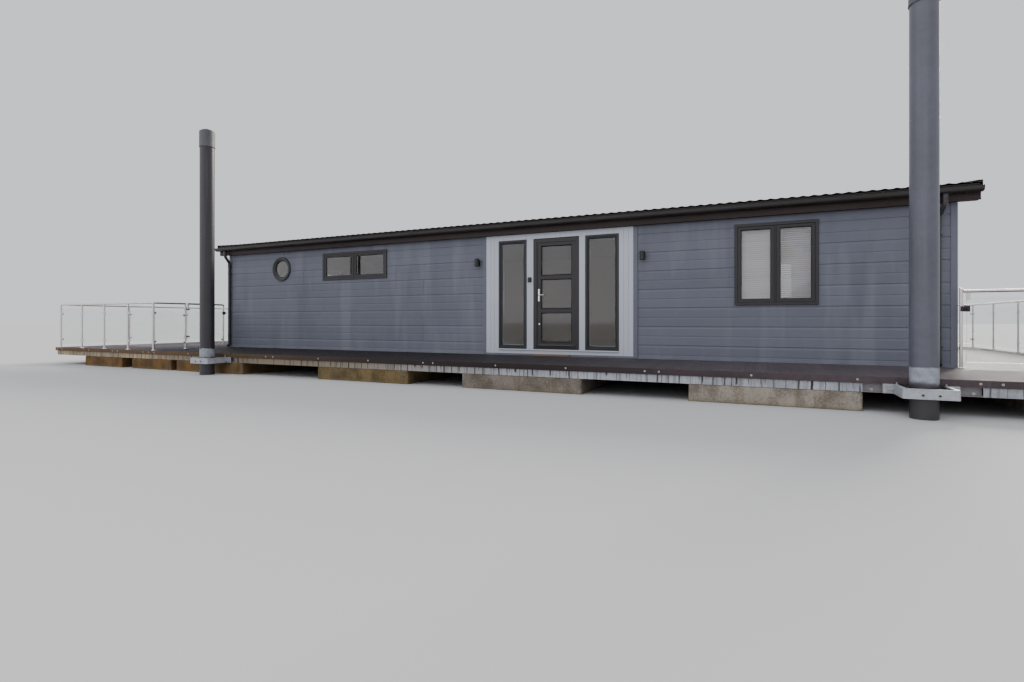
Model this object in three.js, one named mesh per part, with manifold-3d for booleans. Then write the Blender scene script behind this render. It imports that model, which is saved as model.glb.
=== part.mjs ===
// A houseboat: a boarded lodge on a pontoon of concrete floats and a steel frame, held by two
// mooring piles. Millimetres. +X runs to the right along the front, +Y to the back, +Z up.
// The origin is on the waterline, at the middle of the pontoon in plan.
import * as THREE from "three";
import { mergeVertices } from "three/addons/utils/BufferGeometryUtils.js";
import Module from "manifold-3d";

const wasm = await Module();
wasm.setup();

// Clearances
const FIT = 0.3; // between solids that stay together
const SWING = 6; // round a leaf that moves
const OVERRUN = 50; // how far a cutting block passes the faces it cuts

// Pontoon
const PONTOON_LENGTH = 21500;
const PONTOON_WIDTH = 10000;
const DECK_TOP = 425;
const DECK_BOARD = 25;
const EDGE_BOARD_HEIGHT = 80;
const EDGE_BOARD_THICKNESS = 30;
const BEAM_WIDTH = 80;
const FLOAT_TOP = 235;
const FLOAT_DRAUGHT = 450;
const FLOAT_INSET = 30;
const FLOAT_CHAMFER = 90;
const JOISTS = 9;
const STRINGER_Y = [-3000, -1000, 1000, 3000];

// Cabin
const CABIN_LEFT = -6800;
const CABIN_RIGHT = 8170;
const CABIN_HALF_WIDTH = 3050;
const WALL = 150;
const FLOOR_TOP = 540;
const SILL_TOP = 555;
const SCREEN_LEFT = 660;
const SCREEN_RIGHT = 3590;
const SCREEN_PROUD = 12;

// Roof
const PITCH = THREE.MathUtils.degToRad(10);
const EAVE = 3210;
const EAVE_TOP = 3015;
const TILE = 64;
const VERGE = 240;
const FASCIA_Y = 3150;
const FASCIA_BOTTOM = 2770;
const BOARD = 20;
const SOFFIT = 12;
const RIDGE_HALF = 140;
const RIDGE_THICKNESS = 30;
const GUTTER = { back: 3150, front: 3300, bottom: 2870, top: 2946, wall: 5 };
const PIPE_RADIUS = 34;
const PIPE_OFF_WALL = 52;

// Mooring piles
const PILE_RADIUS = 136.5;
const PILE_Y = -5250;
const PILE_X = [-4620, 7300];
const PILE_TOP = 4930;
const PILE_BOTTOM = -2500;
const CAP_RADIUS = 145;
const CAP_HEIGHT = 390;
const CAP_SHOULDER = 22; // of the cap's straight side above the pile
const CAP_APEX = 5010;
const GUIDE_BOTTOM = 236;
const GUIDE_TOP = 347;
const GUIDE_PLATE = 10;
const GUIDE_ASIDE = 20; // of the guide's middle to the right of its pile's axis

// Balustrades
const POST_RADIUS = 20;
const RAIL_RADIUS = 21.5;
const ELBOW_RADIUS = 24;
const RAIL_Z = 1505;
const TUBE_SIDES = 8;
const PANE = 10;
const PANE_BOTTOM = DECK_TOP + 90;
const PANE_TOP = DECK_TOP + 980;
const HINGE_Z = [DECK_TOP + 270, DECK_TOP + 920];
const LATCH = { thickness: 60, height: 80 };

const FRAME_TOP = DECK_TOP - DECK_BOARD;
const BEAM_TOP = DECK_TOP - EDGE_BOARD_HEIGHT;
const HALF_LENGTH = PONTOON_LENGTH / 2;
const HALF_WIDTH = PONTOON_WIDTH / 2;

// Colour, roughness and metalness of each finish.
const FINISHES = {
  concrete: [0x8f8672, 0.95, 0],
  galvanised: [0xb4b6b4, 0.5, 0.7],
  decking: [0x3b3430, 0.85, 0],
  cladding: [0x737a8c, 0.75, 0],
  white: [0xc9cdd6, 0.6, 0],
  anthracite: [0x2b2b2e, 0.5, 0],
  trim: [0x2a2422, 0.55, 0],
  roofing: [0x33302f, 0.8, 0],
  floor: [0x8a7456, 0.7, 0],
  glass: [0x9fb0b8, 0.1, 0],
  chrome: [0xd0d0d0, 0.2, 1],
  stainless: [0xc4beb6, 0.3, 1],
  pile: [0x55596a, 0.6, 0.2],
  cap: [0x232427, 0.6, 0],
  lamp: [0x1b1b1c, 0.5, 0],
};
const MATERIALS = Object.fromEntries(
  Object.entries(FINISHES).map(([name, [color, roughness, metalness]]) => [
    name,
    new THREE.MeshStandardMaterial({ name, color, roughness, metalness }),
  ]),
);

const houseboat = new THREE.Group();
houseboat.name = "houseboat";

// Solids

function solid(geometry) {
  const bare = geometry.clone();
  bare.deleteAttribute("normal");
  bare.deleteAttribute("uv");
  const merged = mergeVertices(bare, 1e-3);
  return new wasm.Manifold(
    new wasm.Mesh({
      numProp: 3,
      vertProperties: merged.attributes.position.array,
      triVerts: new Uint32Array(merged.index.array),
    }),
  );
}

function join(...parts) {
  return parts.flat().reduce((whole, part) => whole.add(part));
}

function cut(body, ...tools) {
  return tools.flat().reduce((left, tool) => left.subtract(tool), body);
}

// Sets the two ends of a straight shape exactly, on one axis (0, 1 or 2), so that faces which
// should be in one plane are.
function setEnds(geometry, axis, low, high) {
  const { position } = geometry.attributes;
  geometry.computeBoundingBox();
  const middle = geometry.boundingBox.getCenter(new THREE.Vector3()).getComponent(axis);
  for (let i = 0; i < position.count; i += 1) {
    const at = position.getComponent(i, axis);
    position.setComponent(i, axis, at < middle ? low : high);
  }
  return geometry;
}

function block(x0, x1, y0, y1, z0, z1) {
  const box = new THREE.BoxGeometry(1, 1, 1);
  setEnds(box, 0, x0, x1);
  setEnds(box, 1, y0, y1);
  return solid(setEnds(box, 2, z0, z1));
}

function outline(points) {
  return new THREE.Shape(points.map(([u, v]) => new THREE.Vector2(u, v)));
}

function extrude(shape, depth) {
  return new THREE.ExtrudeGeometry(shape, { depth, bevelEnabled: false });
}

// An outline of [y, z] points carried along X.
function prismX(points, x0, x1) {
  const turn = new THREE.Matrix4().makeBasis(
    new THREE.Vector3(0, 1, 0),
    new THREE.Vector3(0, 0, 1),
    new THREE.Vector3(1, 0, 0),
  );
  return solid(setEnds(extrude(outline(points), x1 - x0).applyMatrix4(turn), 0, x0, x1));
}

// An outline of [x, z] points carried along Y.
function prismY(points, y0, y1) {
  return solid(setEnds(extrude(outline(points), y1 - y0).rotateX(Math.PI / 2), 1, y0, y1));
}

// An outline of [x, y] points carried along Z.
function prismZ(points, z0, z1) {
  return solid(setEnds(extrude(outline(points), z1 - z0), 2, z0, z1));
}

function postZ(x, y, z0, z1, radius, sides) {
  const tube = new THREE.CylinderGeometry(radius, radius, z1 - z0, sides);
  return solid(setEnds(tube.rotateX(Math.PI / 2).translate(x, y, 0), 2, z0, z1));
}

// A round bar between two points.
function bar(from, to, radius, sides) {
  const a = new THREE.Vector3(...from);
  const b = new THREE.Vector3(...to);
  const along = b.clone().sub(a);
  const tube = new THREE.CylinderGeometry(radius, radius, along.length(), sides);
  const turn = new THREE.Quaternion().setFromUnitVectors(
    new THREE.Vector3(0, 1, 0),
    along.clone().normalize(),
  );
  const middle = a.add(b).multiplyScalar(0.5);
  return solid(tube.applyQuaternion(turn).translate(middle.x, middle.y, middle.z));
}

function meshOf(name, body, finish) {
  const { vertProperties, triVerts } = body.getMesh();
  const geometry = new THREE.BufferGeometry();
  geometry.setAttribute("position", new THREE.BufferAttribute(vertProperties, 3));
  geometry.setIndex(new THREE.BufferAttribute(triVerts, 1));
  geometry.computeVertexNormals();
  const mesh = new THREE.Mesh(geometry, MATERIALS[finish]);
  mesh.name = name;
  return mesh;
}

function add(name, body, finish, parent = houseboat) {
  parent.add(meshOf(name, body, finish));
}

// Pontoon

// Left and right edge of each float, where it meets the front of the pontoon.
const FLOATS = [
  [-9490, -7990],
  [-7610, -6190],
  [-6020, -3940],
  [-1920, 130],
  [1200, 3230],
  [4750, 6760],
  [8500, 10400],
];
FLOATS.forEach(([left, right], i) => {
  const section = [
    [left, FLOAT_TOP],
    [left, FLOAT_CHAMFER - FLOAT_DRAUGHT],
    [left + FLOAT_CHAMFER, -FLOAT_DRAUGHT],
    [right - FLOAT_CHAMFER, -FLOAT_DRAUGHT],
    [right, FLOAT_CHAMFER - FLOAT_DRAUGHT],
    [right, FLOAT_TOP],
  ];
  const reach = HALF_WIDTH - FLOAT_INSET;
  add(`float_${i + 1}`, prismY(section, -reach, reach), "concrete");
});

// The frame is one grid of beams: a rim behind the edge boards, joists across and stringers along.
function gridLines(reach, between) {
  return [-reach, ...between, reach].map((at, i, all) => {
    const rim = i === 0 || i === all.length - 1;
    return rim ? [at - Math.sign(at) * BEAM_WIDTH, at] : [at - BEAM_WIDTH / 2, at + BEAM_WIDTH / 2];
  });
}

const frameX = HALF_LENGTH - EDGE_BOARD_THICKNESS - FIT;
const frameY = HALF_WIDTH - EDGE_BOARD_THICKNESS - FIT;
const joistX = Array.from({ length: JOISTS }, (_, i) => {
  return ((i + 1) / (JOISTS + 1) - 0.5) * 2 * frameX;
});
const joists = gridLines(frameX, joistX);
const stringers = gridLines(frameY, STRINGER_Y);
const bays = joists.slice(1).flatMap((joist, i) =>
  stringers.slice(1).map((stringer, j) => {
    const x = [Math.max(...joists[i]), Math.min(...joist)];
    const y = [Math.max(...stringers[j]), Math.min(...stringer)];
    return block(...x, ...y, FLOAT_TOP - OVERRUN, FRAME_TOP + OVERRUN);
  }),
);
const frameSlab = block(-frameX, frameX, -frameY, frameY, FLOAT_TOP, FRAME_TOP);
add("pontoon_frame", cut(frameSlab, bays), "galvanised");

// A deck section, hollowed below its boards so that an edge board is left on the pontoon's rim.
function deck(x0, x1, y0, y1) {
  const t = EDGE_BOARD_THICKNESS;
  const inner = [
    x0 === -HALF_LENGTH ? x0 + t : x0 - OVERRUN,
    x1 === HALF_LENGTH ? x1 - t : x1 + OVERRUN,
    y0 === -HALF_WIDTH ? y0 + t : y0 - OVERRUN,
    y1 === HALF_WIDTH ? y1 - t : y1 + OVERRUN,
  ];
  return cut(
    block(x0, x1, y0, y1, BEAM_TOP, DECK_TOP),
    block(...inner, BEAM_TOP - OVERRUN, FRAME_TOP),
  );
}

// name, left, right, front, back
const screenFace = CABIN_HALF_WIDTH + SCREEN_PROUD + FIT;
const DECKS = [
  ["deck_front", -HALF_LENGTH, HALF_LENGTH, -HALF_WIDTH, -screenFace],
  ["deck_rear", -HALF_LENGTH, HALF_LENGTH, screenFace, HALF_WIDTH],
  ["deck_left", -HALF_LENGTH, CABIN_LEFT - FIT, FIT - screenFace, screenFace - FIT],
  ["deck_right", CABIN_RIGHT + FIT, HALF_LENGTH, FIT - screenFace, screenFace - FIT],
];
for (const [name, left, right, front, back] of DECKS) {
  add(name, deck(left, right, front, back), "decking");
}

// Cabin. Each wall is made flat, seen from outside: x along the wall, y into the cabin from the
// wall's outer face, z up. The group of its side turns it into place.

function roofUnder(fromRidge) {
  return EAVE_TOP - TILE + (EAVE - fromRidge) * Math.tan(PITCH);
}

// side, x and y of the wall's middle at its outer face, turn about Z
const SIDES = {
  front: [0, -CABIN_HALF_WIDTH, 0],
  rear: [0, CABIN_HALF_WIDTH, Math.PI],
  left: [CABIN_LEFT, 0, -Math.PI / 2],
  right: [CABIN_RIGHT, 0, Math.PI / 2],
};
const sideGroups = Object.fromEntries(
  Object.entries(SIDES).map(([side, [x, y, turn]]) => {
    const group = new THREE.Group();
    group.name = side;
    group.position.set(x, y, 0);
    group.rotation.z = turn;
    houseboat.add(group);
    return [side, group];
  }),
);

const INNER_X = [CABIN_LEFT + WALL + FIT, CABIN_RIGHT - WALL - FIT];
const innerY = CABIN_HALF_WIDTH - WALL - FIT;
add("cabin_floor", block(...INNER_X, -innerY, innerY, FRAME_TOP, FLOOR_TOP), "floor");

function opening({ x0, x1, z0, z1 }) {
  return block(x0 - FIT, x1 + FIT, -OVERRUN, WALL + OVERRUN, z0 - FIT, z1 + FIT);
}

function longWall(x0, x1, proud, openings) {
  const top = (depth) => roofUnder(CABIN_HALF_WIDTH - depth) - FIT;
  const section = [
    [-proud, FRAME_TOP],
    [WALL, FRAME_TOP],
    [WALL, top(WALL)],
    [-proud, top(-proud)],
  ];
  return cut(prismX(section, x0, x1), openings.map(opening));
}

function endWall(openings) {
  const half = CABIN_HALF_WIDTH - WALL - FIT;
  const gable = [
    [-half, FRAME_TOP],
    [half, FRAME_TOP],
    [half, roofUnder(half) - FIT],
    [0, roofUnder(0) - FIT],
    [-half, roofUnder(half) - FIT],
  ];
  return cut(prismY(gable, 0, WALL), openings.map(opening));
}

// Windows: side, left, right, bottom, top, how wide the bar round the glass is, and how many panes
// stand side by side.
const SASH = 105;
const FIXED = 70;
const WINDOWS = {
  window_wide: { side: "front", x0: -3640, x1: -1800, z0: 2035, z1: 2665, stile: SASH, panes: 2 },
  window_tall: { side: "front", x0: 5250, x1: 6460, z0: 1345, z1: 2670, stile: SASH, panes: 2 },
  sidelight_left: { side: "front", x0: 935, x1: 1537, z0: SILL_TOP, z1: 2665, stile: FIXED, panes: 1 },
  sidelight_right: { side: "front", x0: 2708, x1: 3333, z0: SILL_TOP, z1: 2665, stile: FIXED, panes: 1 },
  window_rear_left: { side: "rear", x0: -6460, x1: -5250, z0: 1345, z1: 2670, stile: SASH, panes: 2 },
  window_rear_right: { side: "rear", x0: 1800, x1: 3640, z0: 1345, z1: 2670, stile: SASH, panes: 2 },
};
const PORTHOLE = { x: -4960, z: 2355, radius: 290, ring: 90, proud: 30, sides: 40 };
const DOOR = { x0: 1678, x1: 2590, z0: SILL_TOP, z1: 2655 };
const END_DOOR = { x0: -900, x1: 900, z0: SILL_TOP, z1: 2655 };

const WINDOW_PROUD = 22;
const WINDOW_DEPTH = 75;
const MULLION_HALF = 72;
const MULLION_STEP = 4; // how far a mullion stands back from its frame, on both faces
const GLASS_AT = 12;
const GLASS = 24;

// A frame with mullions between its panes, and the glass behind them.
function windowUnit({ x0, x1, z0, z1, stile: s, panes }, proud) {
  const back = WINDOW_DEPTH - proud;
  const rim = cut(
    block(x0, x1, -proud, back, z0, z1),
    block(x0 + s, x1 - s, -proud - OVERRUN, back + OVERRUN, z0 + s, z1 - s),
  );
  const parts = [rim, block(x0 + s / 2, x1 - s / 2, GLASS_AT, GLASS_AT + GLASS, z0 + s / 2, z1 - s / 2)];
  for (let i = 1; i < panes; i += 1) {
    const x = x0 + (i * (x1 - x0)) / panes;
    const faces = [MULLION_STEP - proud, GLASS_AT + GLASS - MULLION_STEP];
    parts.push(block(x - MULLION_HALF, x + MULLION_HALF, ...faces, z0 + s / 2, z1 - s / 2));
  }
  return join(parts);
}

for (const [name, w] of Object.entries(WINDOWS)) {
  add(name, windowUnit(w, WINDOW_PROUD), "anthracite", sideGroups[w.side]);
}

function disc(x, z, radius, y0, y1, sides) {
  const round = new THREE.CylinderGeometry(radius, radius, y1 - y0, sides);
  return solid(round.translate(x, (y0 + y1) / 2, z));
}

const { x: holeX, z: holeZ, radius: holeR, ring: holeRing, sides: holeSides } = PORTHOLE;
const portholeBack = WINDOW_DEPTH - WINDOW_PROUD;
const portholeRim = cut(
  disc(holeX, holeZ, holeR, -PORTHOLE.proud, portholeBack, holeSides),
  disc(holeX, holeZ, holeR - holeRing, -WINDOW_DEPTH, WALL, holeSides),
);
const portholeGlass = disc(
  holeX,
  holeZ,
  holeR - holeRing / 2,
  GLASS_AT,
  GLASS_AT + GLASS,
  holeSides,
);
add("window_porthole", join(portholeRim, portholeGlass), "anthracite", sideGroups.front);

function windowsOn(side, left, right) {
  return Object.values(WINDOWS).filter((w) => w.side === side && w.x0 > left && w.x1 < right);
}

const portholeCut = disc(holeX, holeZ, holeR + 2 * FIT, -OVERRUN, WALL + OVERRUN, holeSides);
// name, side, left, right, how proud its face stands, finish, door holes
const WALLS = [
  ["wall_front_left", "front", CABIN_LEFT, SCREEN_LEFT - FIT, 0, "cladding", []],
  ["wall_front_right", "front", SCREEN_RIGHT + FIT, CABIN_RIGHT, 0, "cladding", []],
  ["entrance_screen", "front", SCREEN_LEFT, SCREEN_RIGHT, SCREEN_PROUD, "white", [DOOR]],
  ["wall_rear", "rear", -CABIN_RIGHT, -CABIN_LEFT, 0, "cladding", []],
];
for (const [name, side, x0, x1, proud, finish, doors] of WALLS) {
  const body = longWall(x0, x1, proud, [...windowsOn(side, x0, x1), ...doors]);
  const whole = name === "wall_front_left" ? cut(body, portholeCut) : body;
  add(name, whole, finish, sideGroups[side]);
}

// A hinge's knuckles turn end to end about one upright axis. Its middle knuckle is the leaf's, and
// the ones above and below it are the frame's. Each has a flap that reaches into what carries it.
const KNUCKLE = { radius: 8, moving: 40, fixed: 30, sides: 12, clear: 0.5 };
const FLAP = { reach: 27, bite: 2, inset: 1 };
const HINGE_RISE = 250; // of a leaf's lower hinge over its foot
const HINGE_DROP = 300; // of its upper hinge below its top

function knuckle({ x, y, leafSide }, side, face, z0, z1) {
  const away = side * leafSide;
  const flapX = [x + away * (SWING / 2), x + away * (SWING / 2 + FLAP.reach)].sort((a, b) => a - b);
  const flapY = [y, face + Math.sign(face - y) * FLAP.bite].sort((a, b) => a - b);
  const { inset } = FLAP;
  const web = side > 0 ? [x - inset, x + inset, ...flapX].sort((a, b) => a - b) : flapX;
  return join(
    postZ(x, y, z0, z1, KNUCKLE.radius, KNUCKLE.sides),
    block(web[0], web[web.length - 1], ...flapY, z0 + inset, z1 - inset),
  );
}

// The leaf's knuckles, or those of its frame, on a hinge at each height z.
function leafKnuckles(axis, leafFace, heights) {
  return heights.map((z) => knuckle(axis, 1, leafFace, z, z + KNUCKLE.moving));
}

function frameKnuckles(axis, frameFace, heights) {
  return heights.flatMap((z) => {
    const above = z + KNUCKLE.moving + FIT;
    return [
      knuckle(axis, -1, frameFace, z - FIT - KNUCKLE.fixed, z - FIT),
      knuckle(axis, -1, frameFace, above, above + KNUCKLE.fixed),
    ];
  });
}

// Entrance door: hung on the right and opening inwards.
const JAMB = 60;
const DOOR_PROUD = 20;
const DOOR_SILL = 40;
const LEAF = 68;
const LATCH_GAP = 11;
const LEAF_Y = -6;
const doorFrame = cut(
  block(DOOR.x0, DOOR.x1, -DOOR_PROUD, LEAF, DOOR.z0, DOOR.z1),
  block(DOOR.x0 + JAMB, DOOR.x1 - JAMB, -WALL, WALL, DOOR.z0 + DOOR_SILL, DOOR.z1 - JAMB),
);
const leaf = {
  x0: DOOR.x0 + JAMB + LATCH_GAP,
  x1: DOOR.x1 - JAMB - SWING,
  z0: DOOR.z0 + DOOR_SILL + SWING,
  z1: DOOR.z1 - JAMB - SWING,
};
const doorAxis = {
  x: leaf.x1 + SWING / 2,
  y: LEAF + KNUCKLE.radius + KNUCKLE.clear,
  leafSide: -1,
};
const doorHinges = [leaf.z0 + HINGE_RISE, leaf.z1 - HINGE_DROP];
const hungFrame = join(doorFrame, frameKnuckles(doorAxis, LEAF, doorHinges));
add("entrance_door_frame", hungFrame, "anthracite", sideGroups.front);

const LEAF_STILE = 78;
const LEAF_RAIL = 68;
const TOP_RAIL = 65;
const BOTTOM_RAIL = 84;
const LEAF_PANES = 3;
const GLASS_BITE = 15; // how far the leaf's glass reaches into its frame
const paneHeight =
  (leaf.z1 - TOP_RAIL - leaf.z0 - BOTTOM_RAIL - (LEAF_PANES - 1) * LEAF_RAIL) / LEAF_PANES;
const leafPanes = [];
for (let i = 0; i < LEAF_PANES; i += 1) {
  const z0 = leaf.z0 + BOTTOM_RAIL + i * (paneHeight + LEAF_RAIL);
  leafPanes.push([z0, z0 + paneHeight]);
}
const glassEdge = LEAF_STILE - GLASS_BITE;
const leafSlot = block(
  leaf.x0 + glassEdge,
  leaf.x1 - glassEdge,
  LEAF_Y + (LEAF - GLASS) / 2 - FIT,
  LEAF_Y + (LEAF + GLASS) / 2 + FIT,
  leafPanes[0][0] - GLASS_BITE,
  leafPanes[LEAF_PANES - 1][1] + GLASS_BITE,
);
const HANDLE = { x: 1790, z: 1585, plate: 34, height: 240, thickness: 10, spindle: 9 };
const LEVER = { half: 10, length: 120, near: 40, far: 56 };
const spindleHole = block(
  HANDLE.x - HANDLE.spindle,
  HANDLE.x + HANDLE.spindle,
  -OVERRUN,
  WALL,
  HANDLE.z - HANDLE.spindle,
  HANDLE.z + HANDLE.spindle,
);
const leafBody = cut(
  block(leaf.x0, leaf.x1, LEAF_Y, LEAF_Y + LEAF, leaf.z0, leaf.z1),
  leafPanes.map(([z0, z1]) =>
    block(leaf.x0 + LEAF_STILE, leaf.x1 - LEAF_STILE, -OVERRUN, WALL, z0, z1),
  ),
  leafSlot,
  spindleHole,
);
const hungLeaf = join(leafBody, leafKnuckles(doorAxis, LEAF_Y + LEAF, doorHinges));
add("entrance_door_leaf", hungLeaf, "anthracite", sideGroups.front);
const leafGlass = block(
  leaf.x0 + glassEdge + FIT,
  leaf.x1 - glassEdge - FIT,
  LEAF_Y + (LEAF - GLASS) / 2,
  LEAF_Y + (LEAF + GLASS) / 2,
  leafPanes[0][0] - GLASS_BITE + FIT,
  leafPanes[LEAF_PANES - 1][1] + GLASS_BITE - FIT,
);
add("entrance_door_glass", leafGlass, "glass", sideGroups.front);

// Plates and levers on both faces, joined by the spindle through the leaf.
function handleSide(face, out) {
  const y = (depth) => [face + out * depth[0], face + out * depth[1]].sort((a, b) => a - b);
  const { x, z, plate, height, thickness } = HANDLE;
  const { half, length, near, far } = LEVER;
  return [
    block(x - plate / 2, x + plate / 2, ...y([FIT, thickness]), z - height / 2, z + height / 2),
    block(x - half, x + half, ...y([thickness / 2, (near + far) / 2]), z - half, z + half),
    block(x - half, x + length, ...y([near, far]), z - half, z + half),
  ];
}
const spindle = HANDLE.spindle - FIT;
const handle = join(
  handleSide(LEAF_Y, -1),
  handleSide(LEAF_Y + LEAF, 1),
  block(
    HANDLE.x - spindle,
    HANDLE.x + spindle,
    LEAF_Y - HANDLE.thickness / 2,
    LEAF_Y + LEAF + HANDLE.thickness / 2,
    HANDLE.z - spindle,
    HANDLE.z + spindle,
  ),
);
add("entrance_door_handle", handle, "chrome", sideGroups.front);

// Glazed pairs of doors in the end walls, opening outwards onto the end decks.
const END_LEAF = 56;
const END_STILE = 100;
const MEETING_GAP = 10;
const END_HINGES = [END_DOOR.z0 + HINGE_RISE, END_DOOR.z1 - HINGE_DROP];
const endAxes = [-1, 1].map((way) => ({
  x: way * (END_DOOR.x1 - SWING / 2),
  y: -KNUCKLE.radius - KNUCKLE.clear,
  leafSide: -way,
}));
function endLeaf(x0, x1, axis) {
  const z0 = END_DOOR.z0 + SWING;
  const z1 = END_DOOR.z1 - SWING;
  const rim = cut(
    block(x0, x1, 0, END_LEAF, z0, z1),
    block(x0 + END_STILE, x1 - END_STILE, -OVERRUN, WALL, z0 + END_STILE, z1 - END_STILE),
  );
  const inset = END_STILE / 2;
  const pane = [(END_LEAF - GLASS) / 2, (END_LEAF + GLASS) / 2];
  return join(
    rim,
    block(x0 + inset, x1 - inset, ...pane, z0 + inset, z1 - inset),
    leafKnuckles(axis, 0, END_HINGES),
  );
}
for (const side of ["left", "right"]) {
  const reach = END_DOOR.x1 - SWING;
  const group = sideGroups[side];
  const wall = join(endWall([END_DOOR]), endAxes.flatMap((axis) => frameKnuckles(axis, 0, END_HINGES)));
  add(`wall_${side}_end`, wall, "cladding", group);
  add(`${side}_end_door_a`, endLeaf(-reach, -MEETING_GAP / 2, endAxes[0]), "anthracite", group);
  add(`${side}_end_door_b`, endLeaf(MEETING_GAP / 2, reach, endAxes[1]), "anthracite", group);
}

// Wall lights: x and z of the middle
const LIGHTS = { wall_light_left: [475, 2260], wall_light_right: [3760, 2240] };
const LIGHT = { width: 90, height: 150, plate: 12, plateHeight: 120, arm: 30, offWall: 25 };
const LIGHT_SIDES = 16;
for (const [name, [x, z]] of Object.entries(LIGHTS)) {
  const half = LIGHT.width / 2;
  const arm = LIGHT.arm / 2;
  const armReach = LIGHT.offWall + arm;
  const plateHalf = LIGHT.plateHeight / 2;
  const tubeY = -LIGHT.offWall - half;
  const body = join(
    block(x - half, x + half, -LIGHT.plate, -FIT, z - plateHalf, z + plateHalf),
    block(x - arm, x + arm, -armReach, -LIGHT.plate / 2, z - arm, z + arm),
    postZ(x, tubeY, z - LIGHT.height / 2, z + LIGHT.height / 2, half, LIGHT_SIDES),
  );
  add(name, body, "lamp", sideGroups.front);
}

// Roof
const roofX = [CABIN_LEFT - VERGE, CABIN_RIGHT + VERGE];
// An outline drawn for the rear, carried along X on the rear or, mirrored, on the front.
function mirrored(section, side, x0, x1) {
  const points = section.map(([y, z]) => [side * y, z]);
  return prismX(points, x0, x1);
}
function slope(side) {
  const section = [
    [FIT, roofUnder(FIT)],
    [EAVE, roofUnder(EAVE)],
    [EAVE, roofUnder(EAVE) + TILE],
    [FIT, roofUnder(FIT) + TILE],
  ];
  return mirrored(section, side, ...roofX);
}
add("roof_front", slope(-1), "roofing");
add("roof_rear", slope(1), "roofing");

const ridgeTop = roofUnder(0) + TILE + RIDGE_THICKNESS;
const ridgeFoot = roofUnder(RIDGE_HALF) + TILE;
const ridgeSection = [
  [-RIDGE_HALF, ridgeFoot + FIT],
  [0, roofUnder(0) + TILE + FIT],
  [RIDGE_HALF, ridgeFoot + FIT],
  [RIDGE_HALF, ridgeFoot + RIDGE_THICKNESS],
  [0, ridgeTop],
  [-RIDGE_HALF, ridgeFoot + RIDGE_THICKNESS],
];
add("ridge_cap", prismX(ridgeSection, ...roofX), "roofing");

const fasciaX = [roofX[0] + BOARD + FIT, roofX[1] - BOARD - FIT];
function fascia(side) {
  const top = roofUnder(FASCIA_Y) - FIT;
  const section = [
    [screenFace, FASCIA_BOTTOM],
    [FASCIA_Y, FASCIA_BOTTOM],
    [FASCIA_Y, top],
    [FASCIA_Y - BOARD, top],
    [FASCIA_Y - BOARD, FASCIA_BOTTOM + SOFFIT],
    [screenFace, FASCIA_BOTTOM + SOFFIT],
  ];
  return mirrored(section, side, ...fasciaX);
}
add("fascia_front", fascia(-1), "trim");
add("fascia_rear", fascia(1), "trim");

// A gable board with the soffit behind it, between the wall and the board.
const bargeDepth = roofUnder(FASCIA_Y) - FASCIA_BOTTOM;
function chevron(depth, drop, x0, x1, half) {
  const upper = (y) => roofUnder(Math.abs(y)) - FIT - drop;
  const section = [
    [-half, upper(half) - depth],
    [0, upper(0) - depth],
    [half, upper(half) - depth],
    [half, upper(half)],
    [0, upper(0)],
    [-half, upper(half)],
  ];
  return prismX(section, x0, x1);
}
function bargeboard(board, soffit) {
  const half = FASCIA_Y;
  return join(
    chevron(bargeDepth - FIT, 0, ...board, half),
    chevron(SOFFIT, bargeDepth - FIT - SOFFIT, ...soffit, CABIN_HALF_WIDTH),
  );
}
const leftBoard = [roofX[0], roofX[0] + BOARD];
const rightBoard = [roofX[1] - BOARD, roofX[1]];
add("bargeboard_left", bargeboard(leftBoard, [leftBoard[1] - 1, CABIN_LEFT - FIT]), "trim");
add("bargeboard_right", bargeboard(rightBoard, [CABIN_RIGHT + FIT, rightBoard[0] + 1]), "trim");

function gutter(side) {
  const { back, front, bottom, top, wall } = GUTTER;
  const span = (a, b) => [side * a, side * b].sort((p, q) => p - q);
  const outer = block(...roofX, ...span(back + FIT, front), bottom, top);
  const inner = block(
    roofX[0] + wall,
    roofX[1] - wall,
    ...span(back + wall, front - wall),
    bottom + wall,
    top + OVERRUN,
  );
  return cut(outer, inner);
}
add("gutter_front", gutter(-1), "trim");
add("gutter_rear", gutter(1), "trim");

// A downpipe from the gutter's underside, back to the wall under the soffit and down to the deck.
const PIPE_X = { left: CABIN_LEFT + 50, right: CABIN_RIGHT - 225 };
const OUTLET_X = { left: PIPE_X.left, right: PIPE_X.right + 50 };
const SWAN = { outlet: 75, drop: 40, reach: 190, foot: 60, elbow: 2, elbowRings: 6 };
const CLIP = { heights: [700, 2300], half: 22, height: 30 };
function downpipe(x, outletX, side) {
  const outletY = side * (GUTTER.front - SWAN.outlet);
  const wallY = side * (CABIN_HALF_WIDTH + PIPE_OFF_WALL);
  const swan = [
    [outletX, outletY, GUTTER.bottom - FIT],
    [outletX, outletY, FASCIA_BOTTOM - SWAN.drop],
    [x, wallY, FASCIA_BOTTOM - SWAN.reach],
    [x, wallY, DECK_TOP + SWAN.foot],
  ];
  const legs = swan.slice(1).map((to, i) => bar(swan[i], to, PIPE_RADIUS, TUBE_SIDES));
  const elbows = swan.slice(1, -1).map((bend) => {
    const ball = new THREE.SphereGeometry(PIPE_RADIUS + SWAN.elbow, TUBE_SIDES, SWAN.elbowRings);
    return solid(ball.translate(...bend));
  });
  const clips = CLIP.heights.map((z) => {
    const reach = [side * (CABIN_HALF_WIDTH + FIT), wallY].sort((a, b) => a - b);
    return block(x - CLIP.half, x + CLIP.half, ...reach, z, z + CLIP.height);
  });
  return join(legs, elbows, clips);
}
for (const [end, x] of Object.entries(PIPE_X)) {
  add(`downpipe_front_${end}`, downpipe(x, OUTLET_X[end], -1), "trim");
  add(`downpipe_rear_${end}`, downpipe(x, OUTLET_X[end], 1), "trim");
}

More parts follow.
